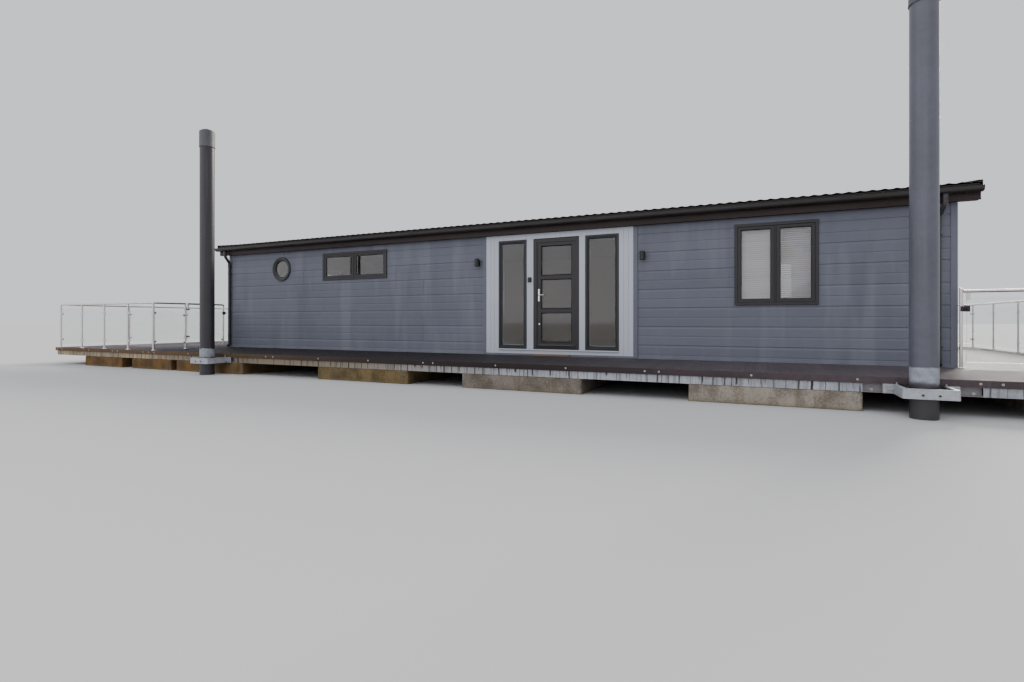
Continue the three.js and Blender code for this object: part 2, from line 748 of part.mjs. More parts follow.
// Mooring piles with their caps, and the guides that tie the pontoon to them.
const PILE_SIDES = 32;
function lathe(profile, sides) {
  const points = profile.map(([r, z]) => new THREE.Vector2(r, z));
  return new THREE.LatheGeometry(points, sides).rotateX(Math.PI / 2);
}

const capProfile = [
  [0, PILE_TOP + FIT],
  [PILE_RADIUS + FIT, PILE_TOP + FIT],
  [PILE_RADIUS + FIT, CAP_APEX - CAP_HEIGHT],
  [CAP_RADIUS, CAP_APEX - CAP_HEIGHT],
  [CAP_RADIUS, PILE_TOP + CAP_SHOULDER],
  [0, CAP_APEX],
];
// Half widths of the hoop at its foot's end, its foot's root and its front plate, and its pads.
const HOOP = { end: 365, root: 250, front: 250, gap: 60 };
const PAD = { frontHalf: 60, backHalf: 255, bite: 15, inset: 10, backHeight: 50 };
function guide(pileX) {
  const x = pileX + GUIDE_ASIDE;
  const face = -HALF_WIDTH - FIT;
  const front = PILE_Y - PILE_RADIUS - HOOP.gap;
  const t = GUIDE_PLATE;
  const padFoot = GUIDE_BOTTOM + PAD.inset;
  const padY = [front - 1, PILE_Y - PILE_RADIUS + PAD.bite, PILE_Y + PILE_RADIUS - PAD.bite, face];
  // Half the hoop's plan, from its foot on the pontoon to the middle of its front plate.
  const half = [
    [HOOP.end, face],
    [HOOP.end, face - t],
    [HOOP.root + t, face - t],
    [HOOP.front + t, front - t],
    [0, front - t],
    [0, front],
    [HOOP.front, front],
    [HOOP.root, face],
  ];
  const hoop = [1, -1].map((way) => {
    const points = half.map(([u, y]) => [x + way * u, y]);
    return prismZ(way > 0 ? points : points.reverse(), GUIDE_BOTTOM, GUIDE_TOP);
  });
  const bore = postZ(pileX, PILE_Y, 0, DECK_TOP + OVERRUN, PILE_RADIUS + FIT, PILE_SIDES);
  const pads = [
    block(x - PAD.frontHalf, x + PAD.frontHalf, padY[0], padY[1], padFoot, GUIDE_TOP - PAD.inset),
    block(x - PAD.backHalf, x + PAD.backHalf, padY[2], padY[3], padFoot, padFoot + PAD.backHeight),
  ];
  return join(hoop, cut(join(pads[0]), bore), cut(pads[1], bore));
}
["left", "right"].forEach((end, i) => {
  const x = PILE_X[i];
  const cap = lathe(capProfile, PILE_SIDES).translate(x, PILE_Y, 0);
  const pile = postZ(x, PILE_Y, PILE_BOTTOM, PILE_TOP, PILE_RADIUS, PILE_SIDES);
  add(`pile_${end}`, pile, "pile");
  add(`pile_cap_${end}`, solid(cap), "cap");
  add(`pile_guide_${end}`, guide(x), "galvanised");
});

// Balustrades, in straight stretches along X or Y: from and to are [x, y] of the end posts, and
// posts in between part the stretch into bays, each with a pane. Beside a gate's hinge post the
// pane starts clear of the gate's collars.
const LEFT_STRETCHES = [
  { from: [-6850, -4200], to: [-6850, -4950], bays: 1, paneFrom: 40 },
  { from: [-6850, -4950], to: [-10600, -4950], bays: 4 },
  { from: [-10600, -4950], to: [-10600, 4950], bays: 6 },
  { from: [-10600, 4950], to: [-6850, 4950], bays: 3 },
  { from: [-6850, 4950], to: [-6850, 3200], bays: 2 },
];
const RIGHT_STRETCHES = [
  { from: [9200, -3150], to: [10600, -3150], bays: 1, paneFrom: 40 },
  { from: [10600, -3150], to: [10600, 4950], bays: 6 },
  { from: [10600, 4950], to: [8220, 4950], bays: 2 },
  { from: [8220, 4950], to: [8220, 3200], bays: 2 },
];

function spanOf({ from, to }) {
  return Math.abs(to[0] - from[0]) + Math.abs(to[1] - from[1]);
}

function pointOn(stretch, distance) {
  const part = distance / spanOf(stretch);
  return [0, 1].map((i) => stretch.from[i] + (stretch.to[i] - stretch.from[i]) * part);
}

// A flat block that stands along a stretch, between two distances from its first post.
function standing(stretch, start, stop, thickness, z0, z1) {
  const [ax, ay] = pointOn(stretch, start);
  const [bx, by] = pointOn(stretch, stop);
  const half = thickness / 2;
  return ax === bx
    ? block(ax - half, ax + half, Math.min(ay, by), Math.max(ay, by), z0, z1)
    : block(Math.min(ax, bx), Math.max(ax, bx), ay - half, ay + half, z0, z1);
}

function post([x, y], foot, top) {
  return postZ(x, y, foot, top, POST_RADIUS, TUBE_SIDES);
}

function elbow([x, y]) {
  return postZ(x, y, RAIL_Z - ELBOW_RADIUS, RAIL_Z + ELBOW_RADIUS, ELBOW_RADIUS, TUBE_SIDES);
}

function rail(stretch, start, stop) {
  const [a, b] = [start, stop].map((distance) => pointOn(stretch, distance));
  const alongX = a[1] === b[1];
  const tube = new THREE.CylinderGeometry(RAIL_RADIUS, RAIL_RADIUS, 1, TUBE_SIDES);
  if (alongX) tube.rotateZ(Math.PI / 2).translate(0, a[1], RAIL_Z);
  else tube.translate(a[0], 0, RAIL_Z);
  const axis = alongX ? 0 : 1;
  const low = Math.min(a[axis], b[axis]);
  const high = Math.max(a[axis], b[axis]);
  return solid(setEnds(tube, axis, low, high));
}

function stretchParts(stretch) {
  const span = spanOf(stretch);
  const uprights = Array.from({ length: stretch.bays }, (_, i) => {
    return post(pointOn(stretch, ((i + 1) * span) / stretch.bays), DECK_TOP, RAIL_Z);
  });
  const paneFrom = stretch.paneFrom ?? 0;
  const pane = standing(stretch, paneFrom, span, PANE, PANE_BOTTOM, PANE_TOP);
  return [rail(stretch, 0, span), elbow(stretch.to), pane, ...uprights];
}

function balustrade(stretches) {
  const first = stretches[0].from;
  return join(post(first, DECK_TOP, RAIL_Z), elbow(first), stretches.flatMap(stretchParts));
}
add("balustrade_left", balustrade(LEFT_STRETCHES), "stainless");
add("balustrade_right", balustrade(RIGHT_STRETCHES), "stainless");

const GATE_POST = { at: [8190, -3150], top: DECK_TOP + 1127 };
add("gate_post_right", post(GATE_POST.at, DECK_TOP, GATE_POST.top), "stainless");

// A glazed gate: two collars turn on the hinge post. At its other end the latch is on a stile, or on
// the pane itself, which then hangs from the rail by a short strap.
const COLLAR = { outer: 30, bore: 20.8, height: 44, sides: 16 };
const GATE_START = 44;
const HINGE_ARM = { width: 26, inset: 4, reach: 60 };
const BRACE = { from: 24, overlap: 9 };
const PANE_FROM = 8;
const STILE_FOOT = DECK_TOP + 60;
const STRAP = { width: 40, thickness: 18, bite: 25 };
function gate(stretch) {
  const { paneTo, latch, latchZ, stile } = stretch;
  const collars = HINGE_Z.map((z) => {
    const top = z + COLLAR.height;
    const { width, inset, reach } = HINGE_ARM;
    const body = join(
      postZ(...stretch.from, z, top, COLLAR.outer, COLLAR.sides),
      standing(stretch, 0, GATE_START + reach, width, z + inset, top - inset),
    );
    const bore = postZ(...stretch.from, z - OVERRUN, top + OVERRUN, COLLAR.bore, COLLAR.sides);
    return cut(body, bore);
  });
  const braceFoot = HINGE_Z[1] + COLLAR.height - BRACE.overlap;
  const brace = post(pointOn(stretch, GATE_START + BRACE.from), braceFoot, RAIL_Z);
  const strap = [paneTo - STRAP.width, paneTo, STRAP.thickness, PANE_TOP - STRAP.bite, RAIL_Z];
  const end = stile
    ? [post(stretch.to, STILE_FOOT, RAIL_Z), elbow(stretch.to)]
    : [standing(stretch, ...strap)];
  return join(
    collars,
    brace,
    end,
    rail(stretch, GATE_START, spanOf(stretch)),
    standing(stretch, GATE_START + PANE_FROM, paneTo, PANE, PANE_BOTTOM, PANE_TOP),
    standing(stretch, ...latch, LATCH.thickness, latchZ, latchZ + LATCH.height),
  );
}
// from: the hinge post; to: the rail's other end; paneTo and latch: distances from the hinge post
const GATES = {
  gate_left: {
    from: [-6850, -4200],
    to: [-6850, -3200],
    paneTo: 1000,
    latch: [1000, 1090],
    latchZ: DECK_TOP + 830,
    stile: true,
  },
  gate_right: {
    from: [9200, -3150],
    to: [8218, -3150],
    paneTo: 948,
    latch: [915, 978],
    latchZ: DECK_TOP + 795,
    stile: false,
  },
};
for (const [name, stretch] of Object.entries(GATES)) {
  add(name, gate(stretch), "stainless");
}

export default houseboat;
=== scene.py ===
# The looks of a houseboat: a boarded lodge on a float pontoon, held by two mooring piles.
# Metres. +X runs to the right along the front, +Y to the back, +Z up, and Z = 0 is the waterline.
import math

import bpy
import numpy as np
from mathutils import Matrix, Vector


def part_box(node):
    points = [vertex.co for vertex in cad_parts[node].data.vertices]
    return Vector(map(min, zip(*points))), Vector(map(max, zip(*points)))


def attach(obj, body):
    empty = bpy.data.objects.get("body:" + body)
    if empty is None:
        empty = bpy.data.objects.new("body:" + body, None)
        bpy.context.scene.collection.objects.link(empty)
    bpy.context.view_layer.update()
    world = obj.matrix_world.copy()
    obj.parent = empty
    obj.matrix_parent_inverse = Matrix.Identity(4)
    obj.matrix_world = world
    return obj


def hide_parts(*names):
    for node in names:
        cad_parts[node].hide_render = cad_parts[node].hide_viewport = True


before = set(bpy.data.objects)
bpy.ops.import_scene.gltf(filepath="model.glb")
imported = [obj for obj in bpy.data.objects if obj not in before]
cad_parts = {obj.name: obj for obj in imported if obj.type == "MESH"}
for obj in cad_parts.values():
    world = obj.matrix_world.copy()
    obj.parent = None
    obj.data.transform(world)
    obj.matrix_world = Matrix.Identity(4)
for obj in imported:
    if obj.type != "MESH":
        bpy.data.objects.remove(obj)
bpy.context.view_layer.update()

# Camera, as the photograph's frame of 1024 x 682 gives it
FRAME_WIDTH = 1024
FRAME_HEIGHT = 682
FOCAL_PIXELS = 540.0
HORIZON_ROW = 321.3
CAMERA_AT = (5.65, -12.65, 1.085)
CAMERA_TURN = 24.78
SENSOR = 36.0


def make_camera():
    """A level camera: its lens is the focal length in pixels over the frame's width, on a 36 mm
    sensor, and its shift lifts the horizon from the frame's middle row to its own row."""
    data = bpy.data.cameras.new("view")
    data.sensor_width = SENSOR
    data.lens = FOCAL_PIXELS / FRAME_WIDTH * SENSOR
    data.shift_y = (HORIZON_ROW - FRAME_HEIGHT / 2) / FRAME_WIDTH
    data.clip_end = 1000.0
    camera = bpy.data.objects.new("view", data)
    camera.location = CAMERA_AT
    camera.rotation_euler = (math.radians(90), 0, math.radians(CAMERA_TURN))
    bpy.context.scene.collection.objects.link(camera)
    bpy.context.scene.camera = camera


make_camera()


def span(axis, first, last=None):
    """From one node's low side to the high side of the same node or of another, along an axis."""
    return getattr(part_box(first)[0], axis), getattr(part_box(last or first)[1], axis)


def middle(node):
    """The middle of a node's box: half the sum of its two corners."""
    return [(low + high) / 2 for low, high in zip(*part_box(node))]


# Places, read from the frame
EDGE_BOTTOM, DECK_TOP = span("z", "deck_front")
PONTOON_X = span("x", "deck_front")
PONTOON_Y = span("y", "deck_front", "deck_rear")
BEAM_X = span("x", "pontoon_frame")[1]
BEAM_Y = span("y", "pontoon_frame")[1]
FRAME_Z = span("z", "pontoon_frame")
CABIN_X = span("x", "wall_front_left", "wall_front_right")
CABIN_Y = span("y", "wall_front_left", "wall_rear")
CABIN_END_Y = span("y", "wall_left_end")
FASCIA_X = span("x", "fascia_front")
FASCIA_Y = span("y", "fascia_rear")[1]
SOFFIT_Z, FASCIA_TOP = span("z", "fascia_front")
ROOF_X = span("x", "roof_front")
EAVE_Y = span("y", "roof_rear")[1]
ROOF_TOP_Z = span("z", "roof_rear")[1]

# Measures that several pieces share
PITCH = math.radians(10)
TILE = 0.064
WALL = 0.150
EDGE_BOARD = 0.030
DECK_BOARD = 0.025
BOARD_PITCH = 0.145
CABIN_HALF = 3.05
GAP = 0.0005
HAIR = 0.0003

# side: middle of the wall's outer face, and its turn about Z
SIDES = {
    "front": ((0.0, CABIN_Y[0]), 0),
    "rear": ((0.0, CABIN_Y[1]), 180),
    "left": ((CABIN_X[0], 0.0), -90),
    "right": ((CABIN_X[1], 0.0), 90),
}


def under(y):
    """The roof's underside over y: it falls from the ridge by the tangent of the pitch."""
    return ROOF_TOP_Z - TILE - abs(y) * math.tan(PITCH)


# Shells: closed surfaces as arrays


class Shell:
    """Points, blocks of faces with three, four or more corners each, and a tint for each face."""

    def __init__(self, points, blocks, tints=None):
        self.points = np.asarray(points, float).reshape(-1, 3)
        self.blocks = [np.asarray(block, int) for block in blocks if len(block)]
        self.tints = tints or [np.full(len(block), 0.5) for block in self.blocks]

    def volume(self):
        """The sum over the faces, cut into fans, of a third of a corner's dot with the cross of
        the next two, halved: it is positive where the faces point outwards."""
        total = 0.0
        for block in self.blocks:
            corners = self.points[block]
            for i in range(1, block.shape[1] - 1):
                cross = np.cross(corners[:, i], corners[:, i + 1])
                total += np.einsum("ij,ij->", corners[:, 0], cross) / 6
        return total

    def outward(self):
        """The faces turned round where the volume comes out negative."""
        if self.volume() < 0:
            self.blocks = [block[:, ::-1] for block in self.blocks]
        return self

    def turned(self, matrix):
        """Each point times a 3 by 3 matrix, then its faces set outwards again."""
        self.points = self.points @ np.asarray(matrix, float).T
        return self.outward()

    def moved(self, offset):
        """Each point plus the offset."""
        self.points = self.points + np.asarray(offset, float)
        return self


def together(*shells):
    """One shell of many: each one's face numbers are raised by the points that come before."""
    points, blocks, tints, count = [], [], [], 0
    for shell in shells:
        points.append(shell.points)
        blocks += [block + count for block in shell.blocks]
        tints += shell.tints
        count += len(shell.points)
    return Shell(np.concatenate(points), blocks, tints)


def repeated(blocks, count, size, seed):
    """The faces of a number of copies of one shape, and a seeded random tint for each copy."""
    steps = np.arange(count)[:, None, None] * size
    picks = np.random.default_rng(seed).random(count)
    faces = [(block[None] + steps).reshape(-1, block.shape[1]) for block in blocks]
    return faces, [np.repeat(picks, len(block)) for block in blocks]


def copies(shell, offsets, seed=1):
    """The shell repeated at each offset, with a tint for each copy."""
    offsets = np.asarray(offsets, float).reshape(-1, 3)
    points = shell.points[None] + offsets[:, None]
    return Shell(points, *repeated(shell.blocks, len(offsets), len(shell.points), seed))


def grid_faces(rows, columns, round_rows=False, round_columns=True):
    """Faces over a grid of points: each has a point, the next in its row, and the same two of the
    row after. Where a way is round, its last line of points joins its first."""
    row_steps = np.arange(rows - (not round_rows))
    column_steps = np.arange(columns - (not round_columns))
    i, j = np.meshgrid(row_steps, column_steps, indexing="ij")
    down, right = (i + 1) % rows, (j + 1) % columns
    faces = [i * columns + j, i * columns + right, down * columns + right, down * columns + j]
    return np.stack(faces, -1).reshape(-1, 4)


def capped(rows, columns):
    """The faces of rings of points in a row: their skin, and a cap on the first and last ring."""
    ring = np.arange(columns)
    return [grid_faces(rows, columns), np.stack([ring[::-1], (rows - 1) * columns + ring])]


def box_template():
    """Faces of a box whose edges are cut off: six sides, twelve edge strips and eight corners.
    Point 3 * corner + axis is that corner's point on the side that faces along the axis."""
    def at(signs, axis):
        """The number of one corner's point on the side that faces along the axis."""
        corner = 4 * (signs[0] > 0) + 2 * (signs[1] > 0) + (signs[2] > 0)
        return 3 * corner + axis

    quads, corners = [], []
    for a in range(3):
        b, c = (a + 1) % 3, (a + 2) % 3
        for first in (-1, 1):
            side = []
            for second, third in ((-1, -1), (1, -1), (1, 1), (-1, 1)):
                signs = [0, 0, 0]
                signs[a], signs[b], signs[c] = first, second, third
                side.append(at(signs, a))
            quads.append(side if first > 0 else side[::-1])
            for second in (-1, 1):
                ends = []
                for end in (-1, 1):
                    signs = [0, 0, 0]
                    signs[a], signs[b], signs[c] = end, first, second
                    ends.append(signs)
                strip = [at(ends[0], b), at(ends[1], b), at(ends[1], c), at(ends[0], c)]
                quads.append(strip if first * second < 0 else strip[::-1])
    for x, y, z in BOX_SIGNS:
        corner = [at((x, y, z), axis) for axis in range(3)]
        corners.append(corner if x * y * z > 0 else corner[::-1])
    return np.array(quads), np.array(corners)


BOX_SIGNS = np.array([[x, y, z] for x in (-1, 1) for y in (-1, 1) for z in (-1, 1)])
BOX_FACES = box_template()


def boxes(lows, highs, chamfer=0.002, seed=1):
    """Boxes with cut edges: each point is the middle plus its corner's signs times the half size,
    less the chamfer on the two axes that its side doesn't face."""
    lows = np.asarray(lows, float).reshape(-1, 3)
    highs = np.asarray(highs, float).reshape(-1, 3)
    lows, highs = np.minimum(lows, highs), np.maximum(lows, highs)
    middles, half = (lows + highs) / 2, (highs - lows) / 2
    drawn_in = chamfer * (1 - np.eye(3))
    reach = half[:, None, None, :] - drawn_in[None, None]
    points = middles[:, None, None, :] + BOX_SIGNS[None, :, None, :] * reach
    return Shell(points, *repeated(BOX_FACES, len(lows), 3 * len(BOX_SIGNS), seed))


def box(low, high, chamfer=0.002):
    """One box with cut edges, between two corners."""
    return boxes([low], [high], chamfer)


def prisms(outline, axis, spans, seed=1):
    """An outline in the plane across an axis, carried along it from the start to the end of each
    span, with a cap on both ends. Axis 0 takes (y, z), axis 1 takes (z, x), axis 2 takes (x, y)."""
    outline = np.asarray(outline, float)
    spans = np.asarray(spans, float).reshape(-1, 2)
    count, size = len(spans), len(outline)
    points = np.zeros((count, 2, size, 3))
    points[..., axis] = spans[:, :, None]
    points[..., (axis + 1) % 3] = outline[:, 0]
    points[..., (axis + 2) % 3] = outline[:, 1]
    return Shell(points, *repeated(capped(2, size), count, 2 * size, seed)).outward()


def rectangle(a0, a1, b0, b1):
    """The outline of a rectangle, from its first corner round."""
    return [(a0, b0), (a1, b0), (a1, b1), (a0, b1)]


def between(marks, gap):
    """Spans from each mark to the next, drawn in by the gap at both ends."""
    marks = np.asarray(marks, float)
    return np.stack([marks[:-1] + gap, marks[1:] - gap], 1)


def hoop(rect, outline):
    """A closed outline of (inset, depth) carried round a rectangle (x0, x1, z0, z1), mitred at its
    corners: each corner moves in by the inset, and the depth is y."""
    x0, x1, z0, z1 = rect
    inward, depth = np.asarray(outline, float).T
    corners = rectangle(x0 + inward, x1 - inward, z0 + inward, z1 - inward)
    return wrapped(np.stack([np.stack([x, depth, z], 1) for x, z in corners]))


def wrapped(grid):
    """Faces over a grid of points that closes on itself both ways, as a torus does."""
    return Shell(grid, [grid_faces(*grid.shape[:2], round_rows=True)]).outward()


def circle(sides):
    """The cosines and sines of equal steps round a full turn."""
    angle = np.linspace(0, 2 * np.pi, sides, endpoint=False)
    return np.cos(angle), np.sin(angle)


def lathe(profile, sides=32, centre=(0, 0, 0), axis=2):
    """A profile of (radius, height) turned about an axis. Where the radius is zero the ring is one
    point, so a profile that starts and ends on the axis is closed."""
    profile = np.asarray(profile, float)
    cosines, sines = circle(sides)
    inner = profile[1:-1]
    heights = np.repeat(inner[:, 1:], sides, 1)
    rings = np.stack([inner[:, :1] * cosines, inner[:, :1] * sines, heights], -1).reshape(-1, 3)
    poles = np.array([[0, 0, profile[0, 1]], [0, 0, profile[-1, 1]]])
    rows = len(inner)
    here = np.arange(sides)
    after = np.roll(here, -1)
    last = (rows - 1) * sides
    first_fan = np.stack([after, here, np.full(sides, rows * sides)], 1)
    last_fan = np.stack([last + here, last + after, np.full(sides, rows * sides + 1)], 1)
    shell = Shell(np.concatenate([rings, poles]), [grid_faces(rows, sides), first_fan, last_fan])
    return aimed(shell.outward(), axis).moved(centre)


def lathe_ring(profile, sides=32, centre=(0, 0, 0), axis=2):
    """A closed profile of (radius, height) off the axis, turned about it into a ring."""
    radius, height = np.asarray(profile, float).T
    cosines, sines = circle(sides)
    heights = np.repeat(height[None], sides, 0)
    grid = np.stack([radius * cosines[:, None], radius * sines[:, None], heights], -1)
    return aimed(wrapped(grid), axis).moved(centre)


def aimed(shell, axis):
    """A shell made about Z turned so that its Z lies along the axis (0, 1 or 2)."""
    if axis == 2:
        return shell
    return shell.turned(np.roll(np.eye(3), axis + 1, axis=0))


def unit(vector):
    """A vector over its own length."""
    return vector / np.linalg.norm(vector)


def rod(start, end, radius, sides=20, edge=0.001):
    """A round bar between two points: a lathe of its length with cut edges, aimed along it."""
    start, end = np.asarray(start, float), np.asarray(end, float)
    along = end - start
    length = np.linalg.norm(along)
    profile = [
        (0, 0), (radius - edge, 0), (radius, edge), (radius, length - edge), (radius - edge, length),
        (0, length),
    ]
    w = along / length
    helper = (1.0, 0, 0) if abs(w[0]) < 0.9 else (0, 1.0, 0)
    u = unit(np.cross(helper, w))
    return lathe(profile, sides).turned(np.stack([u, np.cross(w, u), w], 1)).moved(start)


def fillet(corners, radius, steps=6):
    """A path with each inner corner rounded: points of the parabola that leaves one side and meets
    the other, both at the radius from the corner."""
    corners = np.asarray(corners, float)
    path = [corners[:1]]
    t = np.linspace(0, 1, steps + 1)[:, None]
    for before, corner, after in zip(corners[:-2], corners[1:-1], corners[2:]):
        a = corner + unit(before - corner) * radius
        b = corner + unit(after - corner) * radius
        path.append((1 - t) ** 2 * a + 2 * t * (1 - t) * corner + t ** 2 * b)
    return np.concatenate([*path, corners[-1:]])


def tube(path, radius, sides=16):
    """A circle carried along a path: at each point it stands across the mean of the two steps that
    meet there, and its first direction is turned along from the point before, less its part along
    the path. A cap closes each end."""
    path = np.asarray(path, float)
    steps = np.diff(path, axis=0)
    steps /= np.linalg.norm(steps, axis=1)[:, None]
    tangents = np.concatenate([steps[:1], steps[:-1] + steps[1:], steps[-1:]])
    tangents /= np.linalg.norm(tangents, axis=1)[:, None]
    side = np.cross(tangents[0], (0, 0, 1.0) if abs(tangents[0][2]) < 0.9 else (1.0, 0, 0))
    firsts = []
    for tangent in tangents:
        side = unit(side - tangent * (side @ tangent))
        firsts.append(side)
    firsts = np.array(firsts)
    seconds = np.cross(tangents, firsts)
    cosines, sines = circle(sides)
    ring = firsts[:, None] * cosines[:, None] + seconds[:, None] * sines[:, None]
    return Shell(path[:, None] + radius * ring, capped(len(path), sides)).outward()


def on_side(shell, side):
    """Wall-local points (x along the wall, y into the cabin, z up) turned and moved to a side."""
    (x, y), degrees = SIDES[side]
    c, s = math.cos(math.radians(degrees)), math.sin(math.radians(degrees))
    return shell.turned([[c, -s, 0], [s, c, 0], [0, 0, 1]]).moved((x, y, 0))


MIRROR_Y = np.diag([1.0, -1.0, 1.0])


def facing(way, *shells):
    """Shells that are made for the rear, as they are there, or mirrored across Y for the front."""
    if way > 0:
        return shells
    return [Shell(shell.points, shell.blocks, shell.tints).turned(MIRROR_Y) for shell in shells]


def rect_of(node, side="front"):
    """A node's (x0, x1, z0, z1) on its wall: its corners less the wall's place, turned back."""
    (x, y), degrees = SIDES[side]
    c, s = math.cos(math.radians(degrees)), math.sin(math.radians(degrees))
    along = [c * (corner.x - x) + s * (corner.y - y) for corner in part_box(node)]
    return min(along), max(along), *span("z", node)


def inset(rect, by):
    """A rectangle drawn in on all four sides."""
    x0, x1, z0, z1 = rect
    return x0 + by, x1 - by, z0 + by, z1 - by


def plate(rect, y0, y1, chamfer=0.002):
    """A box that fills a rectangle of a wall between two depths."""
    x0, x1, z0, z1 = rect
    return box((x0, y0, z0), (x1, y1, z1), chamfer)


# Pieces


def mesh_of(name, shell):
    """The shell's points and faces as a mesh, with each face's tint as an attribute."""
    mesh = bpy.data.meshes.new(name)
    faces = [face for block in shell.blocks for face in block.tolist()]
    mesh.from_pydata(shell.points.tolist(), [], faces)
    tint = mesh.attributes.new("tint", "FLOAT", "FACE")
    tint.data.foreach_set("value", np.concatenate(shell.tints).astype(np.float32))
    mesh.update()
    return mesh


def without(mesh, cutters):
    """The mesh less the cutters, which are closed shells that don't touch each other."""
    body = bpy.data.objects.new("body_to_cut", mesh)
    tool = bpy.data.objects.new("cutting_tool", mesh_of("cutting_tool", together(*cutters)))
    for obj in (body, tool):
        bpy.context.scene.collection.objects.link(obj)
    cut = body.modifiers.new("cut", "BOOLEAN")
    cut.operation = "DIFFERENCE"
    cut.solver = "EXACT"
    cut.object = tool
    tool.hide_render = True
    depsgraph = bpy.context.evaluated_depsgraph_get()
    made = bpy.data.meshes.new_from_object(body.evaluated_get(depsgraph))
    for obj in (body, tool):
        bpy.data.objects.remove(obj)
    return made


SMOOTH_BELOW = math.radians(35)


def piece(name, shells, finish, slot, body="boat", replaces=(), side=None, cutters=(), smooth=True):
    """One object of the boat: its shells in one mesh, its finish, and the body that it rides on.
    Where a side is given, the shells are wall-local and are moved to that wall."""
    shells = [shells] if isinstance(shells, Shell) else list(shells)
    if side:
        shells = [on_side(shell, side) for shell in shells]
    mesh = mesh_of(name, together(*shells))
    if cutters:
        mesh = without(mesh, cutters)
        mesh.name = name
    mesh.polygons.foreach_set("use_smooth", [smooth] * len(mesh.polygons))
    if smooth:
        mesh.set_sharp_from_angle(angle=SMOOTH_BELOW)
    mesh.materials.clear()
    mesh.materials.append(FINISHES[finish])
    made = bpy.data.objects.new(name, mesh)
    bpy.context.scene.collection.objects.link(made)
    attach(made, body)
    if replaces:
        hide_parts(*replaces)
    return made


def dress(node, label, shells, finish, slot, body="boat", **more):
    """A piece that takes a node's place and is named after it."""
    return piece(f"{node}_{label}", shells, finish, slot, body, [node], **more)


# Finishes


def rgb(text):
    """A colour written as six hexadecimal digits of sRGB, as linear red, green, blue and one."""
    values = np.array([int(text[i:i + 2], 16) for i in (0, 2, 4)]) / 255
    linear = np.where(values <= 0.04045, values / 12.92, ((values + 0.055) / 1.055) ** 2.4)
    return (*linear.tolist(), 1.0)


def fill(tree, node, **inputs):
    """A node's inputs set or linked, by name or, as at_0, by number. A text is a colour."""
    for key, value in inputs.items():
        socket = node.inputs[int(key[3:]) if key.startswith("at_") else key.replace("_", " ")]
        if isinstance(value, bpy.types.NodeSocket):
            tree.links.new(value, socket)
        else:
            socket.default_value = rgb(value) if isinstance(value, str) else value


def put(tree, kind, settings=None, **inputs):
    """A new node with its settings and inputs. What comes back is its outputs."""
    made = tree.nodes.new(kind)
    for key, value in (settings or {}).items():
        setattr(made, key, value)
    fill(tree, made, **inputs)
    return made.outputs


def math_node(tree, operation, *values, clamp=False):
    """One sum, product or other operation on the values, kept within zero and one by clamp."""
    settings = {"operation": operation, "use_clamp": clamp}
    return put(tree, "ShaderNodeMath", settings, **{f"at_{i}": v for i, v in enumerate(values)})[0]


def noise(tree, vector, scale, detail, rough=0.5):
    """Noise on a vector."""
    return put(tree, "ShaderNodeTexNoise", Vector=vector, Scale=scale, Detail=detail, Roughness=rough)[0]


def new_group(name, inputs, outputs):
    """An empty node group on a vector: more inputs of (name, default), and outputs by name."""
    tree = bpy.data.node_groups.new(name, "ShaderNodeTree")
    tree.interface.new_socket("Vector", in_out="INPUT", socket_type="NodeSocketVector")
    for label, default in inputs.items():
        kind = "Vector" if isinstance(default, tuple) else "Float"
        socket = tree.interface.new_socket(label, in_out="INPUT", socket_type=f"NodeSocket{kind}")
        socket.default_value = default
    for label in outputs:
        tree.interface.new_socket(label, in_out="OUTPUT", socket_type="NodeSocketFloat")
    given = tree.nodes.new("NodeGroupInput").outputs
    return tree, given, tree.nodes.new("NodeGroupOutput").inputs


def stretched(tree, vector, scale):
    """A vector times a scale for each axis, which draws a pattern out along the smallest one."""
    return put(tree, "ShaderNodeVectorMath", {"operation": "MULTIPLY"}, at_0=vector, at_1=scale)[0]


def mottle_group():
    """Patchy colour: two noises, one ten times finer than the other, added and eased to a mask."""
    tree, given, result = new_group("mottle", {"Scale": 1.0, "Contrast": 0.5}, ("Mask", "Fine"))
    broad = noise(tree, given[0], given[1], 4.0)
    fine = noise(tree, given[0], math_node(tree, "MULTIPLY", given[1], 10.0), 2.0)
    part = math_node(tree, "MULTIPLY", fine, 0.35)
    total = math_node(tree, "MULTIPLY_ADD", broad, 0.65, part)
    centred = math_node(tree, "SUBTRACT", total, 0.5)
    spread = math_node(tree, "MULTIPLY", centred, given[2])
    tree.links.new(math_node(tree, "MULTIPLY_ADD", spread, 6.0, 0.5, clamp=True), result[0])
    tree.links.new(fine, result[1])
    return tree


def streak_group():
    """Upright runs: noise squeezed across and drawn out along Z, eased to a mask above a level."""
    inputs = {"Across": 12.0, "Along": 0.6, "Level": 0.55}
    tree, given, result = new_group("streaks", inputs, ("Mask",))
    scale = put(tree, "ShaderNodeCombineXYZ", X=given[1], Y=given[1], Z=given[2])[0]
    runs = noise(tree, stretched(tree, given[0], scale), 1.0, 3.0)
    above = math_node(tree, "SUBTRACT", runs, given[3])
    tree.links.new(math_node(tree, "MULTIPLY", above, 6.0, clamp=True), result[0])
    return tree


def grain_group():
    """Wood grain or brushing: noise drawn out along one axis by the Stretch vector, as a height."""
    inputs = {"Stretch": (1.0, 40.0, 40.0), "Detail": 4.0}
    tree, given, result = new_group("grain", inputs, ("Height",))
    tree.links.new(noise(tree, stretched(tree, given[0], given[1]), 1.0, given[2]), result[0])
    return tree


